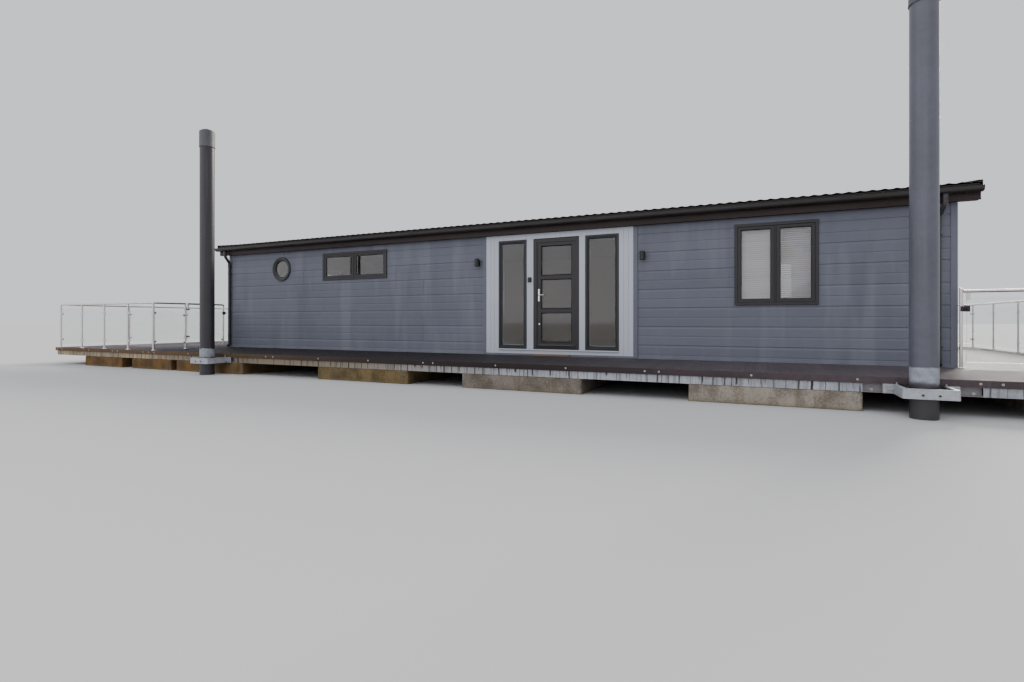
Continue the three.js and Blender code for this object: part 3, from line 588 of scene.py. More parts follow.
def level_group():
    """A ragged level line: one above a height along Z and zero below it, with noise on its edge."""
    inputs = {"Height": 0.0, "Soft": 0.02, "Ragged": 0.03, "Scale": 8.0}
    tree, given, result = new_group("level_line", inputs, ("Above",))
    z = put(tree, "ShaderNodeSeparateXYZ", Vector=given[0])[2]
    centred = math_node(tree, "SUBTRACT", noise(tree, given[0], given[4], 3.0), 0.5)
    shift = math_node(tree, "MULTIPLY", centred, given[3])
    from_line = math_node(tree, "SUBTRACT", math_node(tree, "ADD", z, shift), given[1])
    eased = math_node(tree, "DIVIDE", from_line, given[2])
    tree.links.new(math_node(tree, "ADD", eased, 0.5, clamp=True), result[0])
    return tree


GROUPS = {
    "mottle": mottle_group(),
    "streaks": streak_group(),
    "grain": grain_group(),
    "level": level_group(),
}


class Finish:
    """A material being made: its node tree, its Principled BSDF and its Object coordinates."""

    def __init__(self, name):
        self.material = bpy.data.materials.new(name)
        self.material.use_nodes = True
        self.tree = self.material.node_tree
        self.shader = self.tree.nodes["Principled BSDF"]
        self.place = put(self.tree, "ShaderNodeTexCoord")["Object"]
        self.x, self.y, self.z = put(self.tree, "ShaderNodeSeparateXYZ", Vector=self.place)

    def group(self, name, **inputs):
        """A node group on this finish's coordinates, with its own values."""
        settings = {"node_tree": GROUPS[name]}
        return put(self.tree, "ShaderNodeGroup", settings, Vector=self.place, **inputs)

    def mask(self, name, *values):
        """A group's first output. Its inputs after the vector are given in their own order."""
        return self.group(name, **{f"at_{i}": value for i, value in enumerate(values, 1)})[0]

    def set(self, **inputs):
        """The shader's own inputs set or linked."""
        fill(self.tree, self.shader, **inputs)

    def bump(self, height, distance, strength=1.0):
        """Relief from a height, scaled by the distance and the strength."""
        inputs = {"Height": height, "Distance": distance, "Strength": strength}
        self.set(Normal=put(self.tree, "ShaderNodeBump", **inputs)[0])

    def noise(self, scale, detail=3.0, rough=0.5):
        """Noise on this finish's coordinates."""
        return noise(self.tree, self.place, scale, detail, rough)

    def tint(self):
        """The tint that the mesh holds for each face."""
        return put(self.tree, "ShaderNodeAttribute", {"attribute_name": "tint"})["Fac"]

    def math(self, operation, *values):
        """One operation on the values."""
        return math_node(self.tree, operation, *values)

    def times(self, a, b):
        """The product of two values."""
        return self.math("MULTIPLY", a, b)

    def range(self, value, low, high):
        """A mask from zero to one turned into a span of values."""
        return put(self.tree, "ShaderNodeMapRange", Value=value, To_Min=low, To_Max=high)[0]

    def ramp(self, value, low, high):
        """Zero at and below low, one at and above high, and smooth between."""
        settings = {"interpolation_type": "SMOOTHSTEP"}
        inputs = {"Value": value, "From_Min": low, "From_Max": high}
        return put(self.tree, "ShaderNodeMapRange", settings, **inputs)[0]

    def mix(self, factor, a, b):
        """Colour a where the factor is zero, b where it is one, and a blend between."""
        settings = {"data_type": "RGBA"}
        return put(self.tree, "ShaderNodeMix", settings, at_0=factor, at_6=a, at_7=b)[2]

    def over(self, base, mask, share, colour):
        """A share of a colour laid over the base where the mask is."""
        return self.mix(self.times(mask, share), base, colour)

    def picks(self, number):
        """Three random numbers and one more, which stay the same for the same whole number."""
        settings = {"noise_dimensions": "1D"}
        value, colour = put(self.tree, "ShaderNodeTexWhiteNoise", settings, W=number)
        return *put(self.tree, "ShaderNodeSeparateColor", Color=colour), value

    def chips(self, scale, channel):
        """A mosaic of cells: how far each point lies from its cell's middle, and the cell's grey."""
        cells = put(self.tree, "ShaderNodeTexVoronoi", Vector=self.place, Scale=scale)
        grey = put(self.tree, "ShaderNodeSeparateColor", Color=cells["Color"])[channel]
        return cells["Distance"], grey


FINISHES = {}


def finish(maker):
    """Runs a maker once, on a new material of the maker's own name, and keeps the material."""
    made = Finish(maker.__name__)
    maker(made)
    FINISHES[maker.__name__] = made.material
    return maker


# Coats of paint and moulded plastic: two near colours, the patches' scale, roughness, metallic
COATS = {
    "membrane": ("17181c", "1d1f24", 2.0, (0.8, 0.9), 0.0),
    "lining": ("c8a67c", "d2b38b", 0.6, (0.75, 0.9), 0.0),
    "white_frame": ("d3d2d0", "dad9d7", 2.0, (0.3, 0.45), 0.0),
    "rubber": ("121213", "19191a", 2.0, (0.7, 0.85), 0.0),
    "gutter": ("1f1a1a", "292322", 1.6, (0.34, 0.5), 0.0),
    "pipe": ("262427", "302e31", 1.6, (0.28, 0.4), 0.0),
    "dark_steel": ("2f2c2b", "3b3734", 1.3, (0.6, 0.8), 0.0),
    "dull_zinc": ("7d797a", "8b8787", 2.0, (0.55, 0.75), 0.0),
    "cap": ("454549", "525256", 2.0, (0.5, 0.65), 0.0),
    "lamp": ("161617", "1e1e1f", 20.0, (0.4, 0.55), 0.0),
    "lens": ("b8b6ae", "c8c6be", 20.0, (0.2, 0.3), 0.0),
    "bolt": ("9c9a96", "b3b1ac", 30.0, (0.35, 0.5), 0.7),
}


def coat(name, base, second, scale, rough, metallic):
    """A coat: its two colours in patches, and a fine skin texture."""
    f = Finish(name)
    patches, fine = f.group("mottle", Scale=scale, Contrast=0.5)
    f.set(Base_Color=f.mix(patches, base, second), Roughness=f.range(fine, *rough), Metallic=metallic)
    f.bump(f.noise(260.0, 2.0), 0.0004)
    FINISHES[name] = f.material


for name, values in COATS.items():
    coat(name, *values)


@finish
def cladding(f):
    """Matte composite board: a tint for each board, grain along it, and pale and dark upright bands of
    painted reflection.
    """
    grain = f.mask("grain", (2.2, 2.2, 70.0), 5.0)
    fine = f.mask("grain", (9.0, 9.0, 420.0), 3.0)
    colour = f.mix(f.tint(), "595c68", "606370")
    colour = f.over(colour, grain, 0.4, "6c6f7d")
    colour = f.over(colour, f.mask("mottle", 0.9, 0.5), 0.2, "74757e")
    # Painted reflection: these dark and pale upright bands stand in for the boards' sheen mirroring what is
    # in front of them.
    colour = f.over(colour, f.mask("streaks", 2.0, 0.4, 0.53), 0.28, "4a4b55")
    colour = f.over(colour, f.mask("streaks", 3.4, 0.5, 0.52), 0.14, "93959e")
    f.set(Base_Color=colour, Roughness=f.range(grain, 0.62, 0.85))
    f.bump(f.math("ADD", grain, fine), 0.0012, 0.5)


@finish
def white_panel(f):
    """Satin white panels with a grey bloom and a few rain runs."""
    patches, fine = f.group("mottle", Scale=1.6, Contrast=0.4)
    colour = f.over(f.mix(f.tint(), "b2b7c0", "bcc1ca"), patches, 0.3, "a3a8b3")
    colour = f.over(colour, f.mask("streaks", 9.0, 0.5, 0.6), 0.25, "8b8f99")
    f.set(Base_Color=colour, Roughness=f.range(fine, 0.35, 0.55))
    f.bump(fine, 0.0003)


@finish
def anthracite(f):
    """Satin foil over a moulded frame, with a faint woodgrain and dust on its flats."""
    patches, fine = f.group("mottle", Scale=3.0, Contrast=0.5)
    colour = f.over("1d191c", patches, 0.35, "292428")
    f.set(Base_Color=colour, Roughness=f.range(fine, 0.36, 0.55))
    f.bump(f.mask("grain", (30.0, 30.0, 260.0), 3.0), 0.0004, 0.6)


@finish
def trim(f):
    """Near-black brown boards, dusty in patches, with rain runs."""
    patches, fine = f.group("mottle", Scale=1.2, Contrast=0.6)
    base = f.mix(patches, "281b1a", "332523")
    colour = f.over(base, f.mask("streaks", 14.0, 1.4, 0.58), 0.25, "4a423e")
    f.set(Base_Color=colour, Roughness=f.range(fine, 0.42, 0.62), Specular_IOR_Level=0.35)
    f.bump(f.noise(180.0, 2.0), 0.0004)


@finish
def roofing(f):
    """Stone-chipped metal tile: dark chips of several greys, and green-brown growth in patches."""
    distance, grey = f.chips(260.0, 0)
    stone = f.mix(grey, "262324", "474243")
    warm = f.over(stone, f.mask("mottle", 0.8, 0.9), 0.5, "4a3c34")
    growth = f.ramp(f.mask("mottle", 2.6, 1.0), 0.6, 1.0)
    f.set(Base_Color=f.over(warm, growth, 0.45, "454a35"), Roughness=0.88)
    f.bump(distance, 0.0015, 0.6)


@finish
def decking(f):
    """Dark brown composite board: grain along Y, a tint for each board, dried dirt, and painted shade
    to the left along the cabin, where its shadow falls, but not on the open left deck."""
    grain = f.mask("grain", (60.0, 1.6, 60.0), 4.0)
    colour = f.over(f.mix(f.tint(), "3d373c", "4a4348"), grain, 0.5, "554c51")
    colour = f.over(colour, f.mask("mottle", 1.1, 0.8), 0.3, "5f585b")
    # Painted shade: the boards darken to the left along the cabin, where its shadow falls, and stay light
    # past X -8 on the open left deck.
    painted_cabin_shade = f.times(f.ramp(f.x, 5.5, 0.0), f.ramp(f.x, -8.0, -6.8))
    colour = f.over(colour, painted_cabin_shade, 0.9, "150f11")
    f.set(Base_Color=colour, Roughness=f.range(grain, 0.5, 0.75), Specular_IOR_Level=0.35)
    f.bump(grain, 0.0012, 0.5)


@finish
def edge_board(f):
    """The same composite on edge, redder, with grain along its length. It is dark by the entrance,
    lighter to the right with a painted sunlit sheen, and tan with dried dirt to the left."""
    grain = f.mask("grain", (1.6, 1.6, 90.0), 4.0)
    wet = f.mix(f.tint(), "1b1415", "231a1b")
    lighter_part = f.mix(f.tint(), "483f43", "544a4e")
    # Painted highlight: the lighter colour that comes in from X 2.0 to 7.5 is a sunlit sheen painted into
    # the board.
    colour = f.mix(f.ramp(f.x, 2.0, 7.5), wet, lighter_part)
    colour = f.mix(f.ramp(f.x, 0.6, -6.5), colour, "5d4831")
    colour = f.over(colour, f.mask("mottle", 1.5, 0.9), 0.35, "2a2120")
    colour = f.over(colour, grain, 0.2, "6a5d5c")
    f.set(Base_Color=colour, Roughness=f.range(grain, 0.55, 0.8), Specular_IOR_Level=0.12)
    f.bump(grain, 0.001, 0.6)


def drips(f, along, pitch, share, widest, first):
    """Dark runs under the gaps between deck boards, or a set of finer ones. A run's number is how
    many pitches along it stands, plus the set's first number. That picks whether it is there, its
    width in parts of the pitch, its foot and its strength."""
    turns = f.math("DIVIDE", along, pitch)
    nearest = f.math("ROUND", turns)
    pick_width, pick_there, pick_foot, pick_strength = f.picks(f.math("ADD", nearest, first))
    off = f.math("ABSOLUTE", f.math("SUBTRACT", turns, nearest))
    core = f.ramp(f.math("SUBTRACT", f.range(pick_width, 0.022, widest), off), -0.02, 0.02)
    there = f.math("LESS_THAN", pick_there, share)
    foot = f.range(pick_foot, FRAME_Z[0] - 0.14, EDGE_BOTTOM - 0.05)
    down = f.ramp(f.math("SUBTRACT", f.z, foot), -0.02, 0.03)
    return f.times(f.times(core, there), f.times(down, f.range(pick_strength, 0.55, 1.0)))


@finish
def beam(f):
    """Weathered galvanised steel with a white bloom, tan to the left and cream at that end, in the
    shade of the boards at its top. Its dark runs stray sideways with the height, and the finer
    ones stand in clusters."""
    strayed = f.math("MULTIPLY_ADD", f.noise(16.0), 0.022, f.x)
    broad = drips(f, strayed, BOARD_PITCH, 0.95, 0.105, 0.0)
    fine = drips(f, strayed, 0.31 * BOARD_PITCH, 0.42, 0.18, 40.0)
    clusters = f.ramp(f.noise(1.3, 1.0), 0.34, 0.52)
    dark = f.math("MAXIMUM", broad, f.times(fine, clusters))
    shade = f.mask("level", EDGE_BOTTOM - 0.006, 0.008, 0.02, 30.0)
    darker = f.math("MAXIMUM", dark, f.times(shade, 0.7))
    bloom = f.mask("mottle", 2.2, 0.8)
    colour = f.over(f.mix(bloom, "93959b", "b1b4ba"), f.ramp(f.x, 3.6, -2.4), 0.92, "7a6c52")
    colour = f.mix(f.ramp(f.x, -4.6, -7.6), colour, f.mix(bloom, "7a6952", "b3a181"))
    colour = f.over(colour, f.mask("streaks", 26.0, 2.0, 0.52), 0.5, "55504c")
    colour = f.mix(darker, colour, "262223")
    f.set(Base_Color=colour, Roughness=f.range(bloom, 0.45, 0.7), Metallic=0.2)
    f.bump(f.noise(90.0), 0.0006)


@finish
def galvanised(f):
    """Zinc coat: a mosaic of crystals in near greys, bright with white bloom in the hollows."""
    grey = f.chips(70.0, 1)[1]
    bloom = f.mask("mottle", 5.0, 0.8)
    colour = f.over(f.mix(grey, "989ba0", "a9acb1"), bloom, 0.6, "bec1c5")
    f.set(Base_Color=colour, Roughness=f.range(bloom, 0.42, 0.62), Metallic=0.45)
    f.bump(f.noise(120.0), 0.0004)


# Along X: where the concrete starts to change, where it has changed, its darker and lighter colour
CONCRETE_ZONES = (
    (4.6, 3.4, "564f49", "847c76"),
    (1.2, 0.1, "473a20", "766340"),
    (-3.0, -5.6, "452d0f", "714f1e"),
)


@finish
def concrete(f):
    """Cast concrete: sand speckle, pale patches and runs from above. It is grey at the right, darker grey
    by the entrance, then tan, and rusty brown at the left end, with a thin wet line at the water."""
    cast, pale = "6f675e", "a39a8f"
    for start, stop, low, high in CONCRETE_ZONES:
        here = f.ramp(f.x, start, stop)
        cast = f.mix(here, cast, low)
        pale = f.mix(here, pale, high)
    blotches, fine = f.group("mottle", Scale=3.4, Contrast=1.0)
    colour = f.over(cast, blotches, 0.85, pale)
    colour = f.over(colour, f.mask("mottle", 0.55, 0.5), 0.2, "76633d")
    colour = f.over(colour, f.mask("streaks", 7.0, 1.2, 0.5), 0.45, "5b5040")
    lighter_part = f.mask("level", 0.008, 0.012, 0.02, 6.0)
    clean = f.mask("level", 0.030, 0.04, 0.05, 5.0)
    colour = f.mix(f.range(clean, 0.55, 1.0), "6d6544", colour)
    colour = f.mix(f.range(lighter_part, 0.25, 1.0), "2f2b20", colour)
    f.set(Base_Color=colour, Roughness=f.range(lighter_part, 0.45, 0.92))
    f.bump(f.math("ADD", f.noise(90.0, 4.0, 0.7), fine), 0.004, 0.7)


@finish
def floor(f):
    """Oak boards along X, 0.19 wide: a tint by board, grain along it, and a grey underside."""
    row = f.math("FLOOR", f.math("DIVIDE", f.y, 0.19))
    grain = f.mask("grain", (1.5, 45.0, 45.0), 4.0)
    oak = f.over(f.mix(f.picks(row)[3], "8a7353", "a1865f"), grain, 0.5, "6b5639")
    top = f.math("GREATER_THAN", f.z, span("z", "cabin_floor")[1] - 0.01)
    f.set(Base_Color=f.mix(top, "3d3c3a", oak), Roughness=0.5)
    f.bump(grain, 0.0005)


@finish
def glass(f):
    """Clear window glass, with a faint film of dust in its roughness."""
    rough = f.range(f.mask("mottle", 1.4, 0.6), 0.01, 0.05)
    f.set(Base_Color="f2f4f4", Roughness=rough, Transmission_Weight=1.0, IOR=1.5)


@finish
def rail_glass(f):
    """Toughened balustrade glass, nearly clear, with a faint film of dried splashes."""
    film = f.mask("mottle", 6.0, 0.9)
    rough = f.range(film, 0.0, 0.02)
    f.set(Base_Color=f.mix(film, "f9fcfb", "fcfdfd"), Roughness=rough, Transmission_Weight=1.0, IOR=1.45)


def bright_metal(f, scale, contrast, low, high, rough):
    """Bare metal whose colour and roughness both follow the same faint marks."""
    marks = f.mask("mottle", scale, contrast)
    f.set(Base_Color=f.mix(marks, low, high), Roughness=f.range(marks, *rough), Metallic=1.0)


@finish
def chrome(f):
    """Polished chrome."""
    bright_metal(f, 30.0, 0.6, "d6d4d2", "e6e4e2", (0.08, 0.2))


@finish
def stainless(f):
    """Brushed stainless steel."""
    bright_metal(f, 5.0, 0.4, "d2c9c6", "ddd5d2", (0.2, 0.3))


WORN_BAND = (0.40, 0.575)


@finish
def pile(f):
    """Painted steel tube: grey-blue in soft patches with upright runs, darker on the left pile, worn
    to a pale chalky band that the guide rubs, and dark below it. The band is lower on the
    left pile, and more ragged at its top."""
    patches, fine = f.group("mottle", Scale=1.5, Contrast=0.5)
    left = f.ramp(f.x, 2.0, -2.0)
    base = f.mix(left, f.mix(patches, "4a4b54", "565762"), f.mix(patches, "272429", "302c32"))
    colour = f.over(base, f.mask("streaks", 16.0, 0.5, 0.55), 0.14, "6a6c75")
    sunk = f.times(left, -0.045)
    low, high = (f.math("ADD", sunk, level) for level in WORN_BAND)
    over = f.mask("level", low, 0.03, 0.10, 14.0)
    under_top = f.math("SUBTRACT", 1.0, f.mask("level", high, 0.014, f.range(left, 0.03, 0.13), 11.0))
    worn = f.mix(f.mask("mottle", 12.0, 0.8), "858a96", "a5a9b3")
    colour = f.over(colour, f.times(over, under_top), 0.85, worn)
    lighter_part = f.mask("level", low, 0.06, 0.1, 9.0)
    f.set(Base_Color=f.mix(lighter_part, "333034", colour), Roughness=f.range(fine, 0.30, 0.46))
    f.bump(f.noise(60.0), 0.0008)


@finish
def timber(f):
    """Oiled timber: brown grain along X."""
    grain = f.mask("grain", (3.0, 70.0, 70.0), 5.0)
    f.set(Base_Color=f.mix(grain, "574234", "856a54"), Roughness=0.62)
    f.bump(grain, 0.001)


@finish
def slat(f):
    """Blind slats: pale satin paint, a little warmer from slat to slat."""
    fine = f.group("mottle", Scale=4.0, Contrast=0.3)[1]
    f.set(Base_Color=f.mix(f.tint(), "d8d0d5", "e3dbdf"), Roughness=f.range(fine, 0.4, 0.55))


# Cabin walls

COURSE = 0.325
FIRST_COURSE = 0.345
JOINT = 0.005
SKIN = 0.0205
LINING = 0.1375
WALL_FOOT = 0.401
WALL_HEAD = under(CABIN_HALF) - 0.006
THROUGH = (-0.2, 0.4)
# X where a board ends, course by course from the deck up
BUTTS = [
    (-5.33, 7.72), (-0.84,), (-2.79, 7.78), (-3.65,), (-0.85, 7.75), (-4.25, -1.57), (-2.60, 7.70),
    (-4.90,), (-1.20, 7.74), (-3.30,),
]
# (y into the wall, z over the course's foot): two laps, each with a ledge below and a bevel above
LAPS = [
    (0.020, 0.0005), (0.003, 0.0005), (0.0, 0.0035), (0.0, 0.1310), (0.0048, 0.1560),
    (0.0048, 0.1580), (0.0024, 0.1585), (0.0, 0.1615), (0.0, 0.2860), (0.007, 0.3080),
    (0.007, 0.3238), (0.020, 0.3242),
]


def boarding(x0, x1, courses, shifts):
    """The two-lap outline carried along the wall, once for each board between staggered ends."""
    shells = []
    for course in range(courses):
        ends = np.sort(np.add.outer(shifts, BUTTS[course]).ravel())
        ends = ends[(ends > x0 + 0.3) & (ends < x1 - 0.3)]
        outline = np.array(LAPS) + (0, FIRST_COURSE + course * COURSE)
        spans = between([x0, *ends, x1], JOINT / 2)
        shells.append(prisms(outline, 0, spans, seed=course + round(10 * x1)))
    return together(*shells)


def slab(outline, y0, y1):
    """A plate in the wall: an outline of (x, z) carried through from y0 to y1."""
    return prisms([(z, x) for x, z in outline], 1, [(y0, y1)])


def hole(rect):
    """A cutter for a rectangular opening."""
    return plate(rect, *THROUGH, 0.0)


def layers(node, side, outline, slot, cutters):
    """A wall's dark membrane behind its skin, and its pale inner lining."""
    more = {"side": side, "cutters": cutters, "smooth": False}
    dress(node, "core", slab(outline, SKIN, LINING - GAP), "membrane", slot, **more)
    dress(node, "lining", slab(outline, LINING, WALL - HAIR), "lining", "white", **more)


def wall(node, side, x0, x1, holes, gable=False, shifts=(0.0,)):
    """Boards over the inner layers, with the openings cut through all. A gable's head follows the
    roof's underside up to the ridge."""
    if gable:
        outline = [
            (x0, WALL_FOOT), (x1, WALL_FOOT), (x1, WALL_HEAD), (0, under(0) - 0.006), (x0, WALL_HEAD),
        ]
        rake = [(x, under(x) - 0.01) for x in (-3.4, 0, 3.4)]
        above = slab([*rake, (3.4, 4.4), (-3.4, 4.4)], *THROUGH)
        low, high, courses = CABIN_Y[0] + 0.002, CABIN_Y[1] - 0.002, 10
    else:
        outline = rectangle(x0, x1, WALL_FOOT, WALL_HEAD)
        above = hole((x0 - 1, x1 + 1, WALL_HEAD - 0.004, 4.0))
        low, high, courses = x0, x1, 9
    below = hole((low - 1, high + 1, 0.1, DECK_TOP + 0.015))
    cuts = [on_side(shell, side) for shell in holes]
    trims = [on_side(shell, side) for shell in (above, below)]
    boards = boarding(low, high, courses, shifts)
    dress(node, "boards", boards, "cladding", "cladding", side=side, cutters=cuts + trims, smooth=False)
    layers(node, side, outline, "cladding", cuts)


SCREEN = rect_of("entrance_screen")
DOOR = rect_of("entrance_door_frame")
END_DOOR = (-0.900, 0.900, 0.555, 2.655)
round_low, round_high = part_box("window_porthole")
ROUND_X, _, ROUND_Z = middle("window_porthole")
ROUND_R = (round_high.x - round_low.x) / 2
round_hole = lathe(rectangle(0, ROUND_R + GAP, *THROUGH), 72, (ROUND_X, 0, ROUND_Z), axis=1)
x0, x1 = CABIN_X
wall("wall_front_left", "front", x0 + SKIN, SCREEN[0] - HAIR, [hole(rect_of("window_wide")), round_hole])
wall("wall_front_right", "front", SCREEN[1] + HAIR, x1 - SKIN, [hole(rect_of("window_tall"))])
rear_holes = [hole(rect_of(node, "rear")) for node in ("window_rear_left", "window_rear_right")]
wall("wall_rear", "rear", -x1 + SKIN, -x0 - SKIN, rear_holes, shifts=(0.3, -4.4))
for end in ("left", "right"):
    wall(f"wall_{end}_end", end, *CABIN_END_Y, [hole(END_DOOR)], gable=True, shifts=(1.3,))


def corner_trim(x, y, way_x, way_y):
    """An angle over a cabin corner: its outline of (x, y) carried up from the deck to the soffit."""
    leg, out = 0.072, 0.009
    outline = [(-out, -out), (leg, -out), (leg, -GAP), (-GAP, -GAP), (-GAP, leg), (-out, leg)]
    points = [(x + way_x * u, y + way_y * v) for u, v in outline]
    return prisms(points, 2, [(DECK_TOP + 0.012, SOFFIT_Z - GAP)])


trims = []
for x, way_x in zip(CABIN_X, (1, -1)):
    trims += [corner_trim(x, y, way_x, way_y) for y, way_y in zip(CABIN_Y, (1, -1))]
FOOT_TRIM = [
    (-0.001, 0.0), (-0.012, 0.0), (-0.013, 0.003), (-0.0095, 0.008), (-0.0095, 0.028),
    (-0.001, 0.036),
]
for side, ends in (
    ("front", (x0 - 0.009, x1 + 0.009)), ("rear", (-x1 - 0.009, -x0 + 0.009)), ("left", CABIN_Y),
    ("right", CABIN_Y),
):
    foot = [(u, v + DECK_TOP + GAP) for u, v in FOOT_TRIM]
    trims.append(on_side(prisms(foot, 0, [ends]), side))
for x in (SCREEN[0] - 0.0385, SCREEN[1] + 0.0385):
    edge = plate((x - 0.0375, x + 0.0375, DECK_TOP + 0.012, SOFFIT_Z - GAP), -0.017, -GAP)
    trims.append(on_side(edge, "front"))
piece("wall_trims", trims, "cladding", "cladding", smooth=False)


# Entrance screen, door and windows

SCREEN_FACE = -0.012
BACK = SKIN - 0.001
LIGHT_L, LIGHT_R = rect_of("sidelight_left"), rect_of("sidelight_right")
HEAD = LIGHT_L[3] + 0.001
SILL = LIGHT_L[2] - 0.001
TOP = SOFFIT_Z - 0.001
BAND_FOOT = DECK_TOP + 0.036


def grooved(x0, x1, z0, z1, pitch=0.098):
    """An upright panel with V grooves: across its face the outline dips 5 mm at each groove."""
    outline = [(x0, SCREEN_FACE)]
    for mark in np.linspace(x0, x1, max(2, round((x1 - x0) / pitch)) + 1)[1:-1]:
        outline += [(mark - 0.004, SCREEN_FACE), (mark, SCREEN_FACE + 0.005), (mark + 0.004, SCREEN_FACE)]
    return prisms([*outline, (x1, SCREEN_FACE), (x1, BACK), (x0, BACK)], 2, [(z0, z1)])


nose = [
    (BACK, SILL), (-0.034, SILL - 0.004), (-0.038, SILL - 0.010), (-0.038, SILL - 0.022),
    (-0.030, SILL - 0.022), (-0.028, SILL - 0.030), (SCREEN_FACE, SILL - 0.030),
    (SCREEN_FACE, BAND_FOOT), (BACK, BAND_FOOT),
]
panels = [
    grooved(SCREEN[0] + GAP, LIGHT_L[0] - 0.001, BAND_FOOT, TOP),
    grooved(LIGHT_R[1] + 0.001, SCREEN[1] - GAP, BAND_FOOT, TOP),
    grooved(LIGHT_L[0], LIGHT_R[1], HEAD, TOP),
    plate((LIGHT_L[1] + 0.001, DOOR[0] - 0.001, SILL + 0.002, HEAD - 0.001), SCREEN_FACE - 0.004, BACK),
    plate((DOOR[1] + 0.001, LIGHT_R[0] - 0.001, SILL + 0.002, HEAD - 0.001), SCREEN_FACE - 0.004, BACK),
    prisms(nose, 0, [(LIGHT_L[0] - GAP, LIGHT_R[1] + GAP)]),
]
node = "entrance_screen"
dress(node, "panels", panels, "white_panel", "white", side="front", smooth=False)
screen_outline = rectangle(*SCREEN[:2], WALL_FOOT, WALL_HEAD)
screen_holes = [on_side(hole(rect), "front") for rect in (LIGHT_L, LIGHT_R, DOOR)]
layers(node, "front", screen_outline, "white", screen_holes)
upper = plate((SCREEN[0] + 0.001, SCREEN[1] - 0.001, SOFFIT_Z + 0.001, under(CABIN_HALF) - 0.01), 0.0, BACK)
dress(node, "head", upper, "membrane", "white", side="front")

GLASS_Y = (0.0122, 0.0360)
MULLION = 0.017
OPENING, FIXED = (0.049, 0.055), (0.041, 0.028)
# node: its side, its panes across, and the widths of its bar and sash
WINDOWS = {
    "window_wide": ("front", 2, OPENING),
    "window_tall": ("front", 2, OPENING),
    "sidelight_left": ("front", 1, FIXED),
    "sidelight_right": ("front", 1, FIXED),
    "window_rear_left": ("rear", 2, OPENING),
    "window_rear_right": ("rear", 2, OPENING),
}


def window(node, side, panes, bar, sash):
    """A fixed frame as wide as its bar, sashes with beads and seals, panes of sealed glass and a
    pale inner frame. Each section is an outline of (inset, y) carried round its rectangle."""
    rect = rect_of(node, side)
    x0, x1, z0, z1 = rect
    cuts = [x0 + bar + 0.001]
    for i in range(1, panes):
        mullion = x0 + i * (x1 - x0) / panes
        cuts += [mullion - MULLION, mullion + MULLION]
    cuts.append(x1 - bar - 0.001)
    bays = [(*cuts[i:i + 2], z0 + bar + 0.001, z1 - bar - 0.001) for i in range(0, len(cuts), 2)]
    frame_outline = [
        (GAP, -0.019), (0.0035, -0.022), (bar - 0.004, -0.022), (bar, -0.018), (bar, 0.036),
        (GAP, 0.036),
    ]
    sash_outline = [
        (GAP, -0.010), (0.003, -0.013), (sash - 0.024, -0.013), (sash - 0.022, -0.0105),
        (sash - 0.010, -0.0105), (sash, -0.002), (sash, 0.0105), (GAP, 0.0105),
    ]
    seal_outline = [
        (sash - 0.002, 0.0108), (sash + 0.003, 0.0066), (sash + 0.0035, 0.0119),
        (sash - 0.002, 0.0119),
    ]
    reach = bar + sash + 0.010
    inner_outline = [
        (GAP, 0.0365), (reach, 0.0365), (reach, 0.042), (reach - 0.008, 0.050),
        (reach - 0.008, 0.0525), (GAP, 0.0525),
    ]
    dark = [hoop(rect, frame_outline)] + [hoop(bay, sash_outline) for bay in bays]
    pale = [hoop(rect, inner_outline)]
    for left, right in zip(bays[:-1], bays[1:]):
        a, b, m = left[1] + GAP, right[0] - GAP, (left[1] + right[0]) / 2
        half = MULLION + sash + 0.010
        outline = [
            (a, 0.0105), (a, -0.014), (a + 0.004, -0.018), (m - 0.003, -0.018), (m - 0.003, -0.010),
            (m + 0.003, -0.010), (m + 0.003, -0.018), (b - 0.004, -0.018), (b, -0.014), (b, 0.0105),
        ]
        dark.append(prisms(outline, 2, [(z0 + bar + 0.0002, z1 - bar - 0.0002)]))
        pale.append(plate((m - half, m + half, z0 + reach + GAP, z1 - reach - GAP), 0.0368, 0.0515, 0.004))
    starts = (0.15, x1 - x0 - 0.19)
    weep_lows = [(x0 + u, -0.0235, z0 + 0.010) for u in starts]
    weep_highs = [(x0 + u + 0.04, -0.0215, z0 + 0.019) for u in starts]
    seals = [hoop(bay, seal_outline) for bay in bays] + [boxes(weep_lows, weep_highs, 0.001)]
    sheets = [plate(inset(bay, sash - 0.012), *GLASS_Y, GAP) for bay in bays]
    for label, shells, look, slot in (
        ("frame", dark, "anthracite", "anthracite"), ("seals", seals, "rubber", "anthracite"),
        ("panes", sheets, "glass", "glass"), ("inner_frame", pale, "white_frame", "white"),
    ):
        dress(node, label, shells, look, slot, side=side, smooth=False)


for node, (side, panes, bars) in WINDOWS.items():
    window(node, side, panes, *bars)

# The porthole: sections of (radius, y), turned about its axis
sight = ROUND_R - 0.090
ring = [
    (ROUND_R, 0.0525), (ROUND_R, -0.024), (ROUND_R - 0.004, -0.030), (ROUND_R - 0.040, -0.030),
    (ROUND_R - 0.044, -0.026), (ROUND_R - 0.045, -0.018), (sight + 0.012, -0.015), (sight, -0.004),
    (sight, 0.0105), (sight + 0.015, 0.0108), (sight + 0.015, 0.0525),
]
seal = [
    (sight - GAP, 0.0118), (sight - 0.0035, 0.0118), (sight - 0.0055, 0.0080),
    (sight - GAP, 0.0050),
]
rim_r = sight + 0.014
disc = [
    (0, 0.0122), (rim_r - GAP, 0.0122), (rim_r, 0.0127), (rim_r, 0.0355), (rim_r - GAP, 0.036),
    (0, 0.036),
]
boards = [
    (ROUND_R - GAP, 0.0528), (ROUND_R - GAP, 0.1490), (ROUND_R - 0.018, 0.1490),
    (sight + 0.016, 0.0530),
]
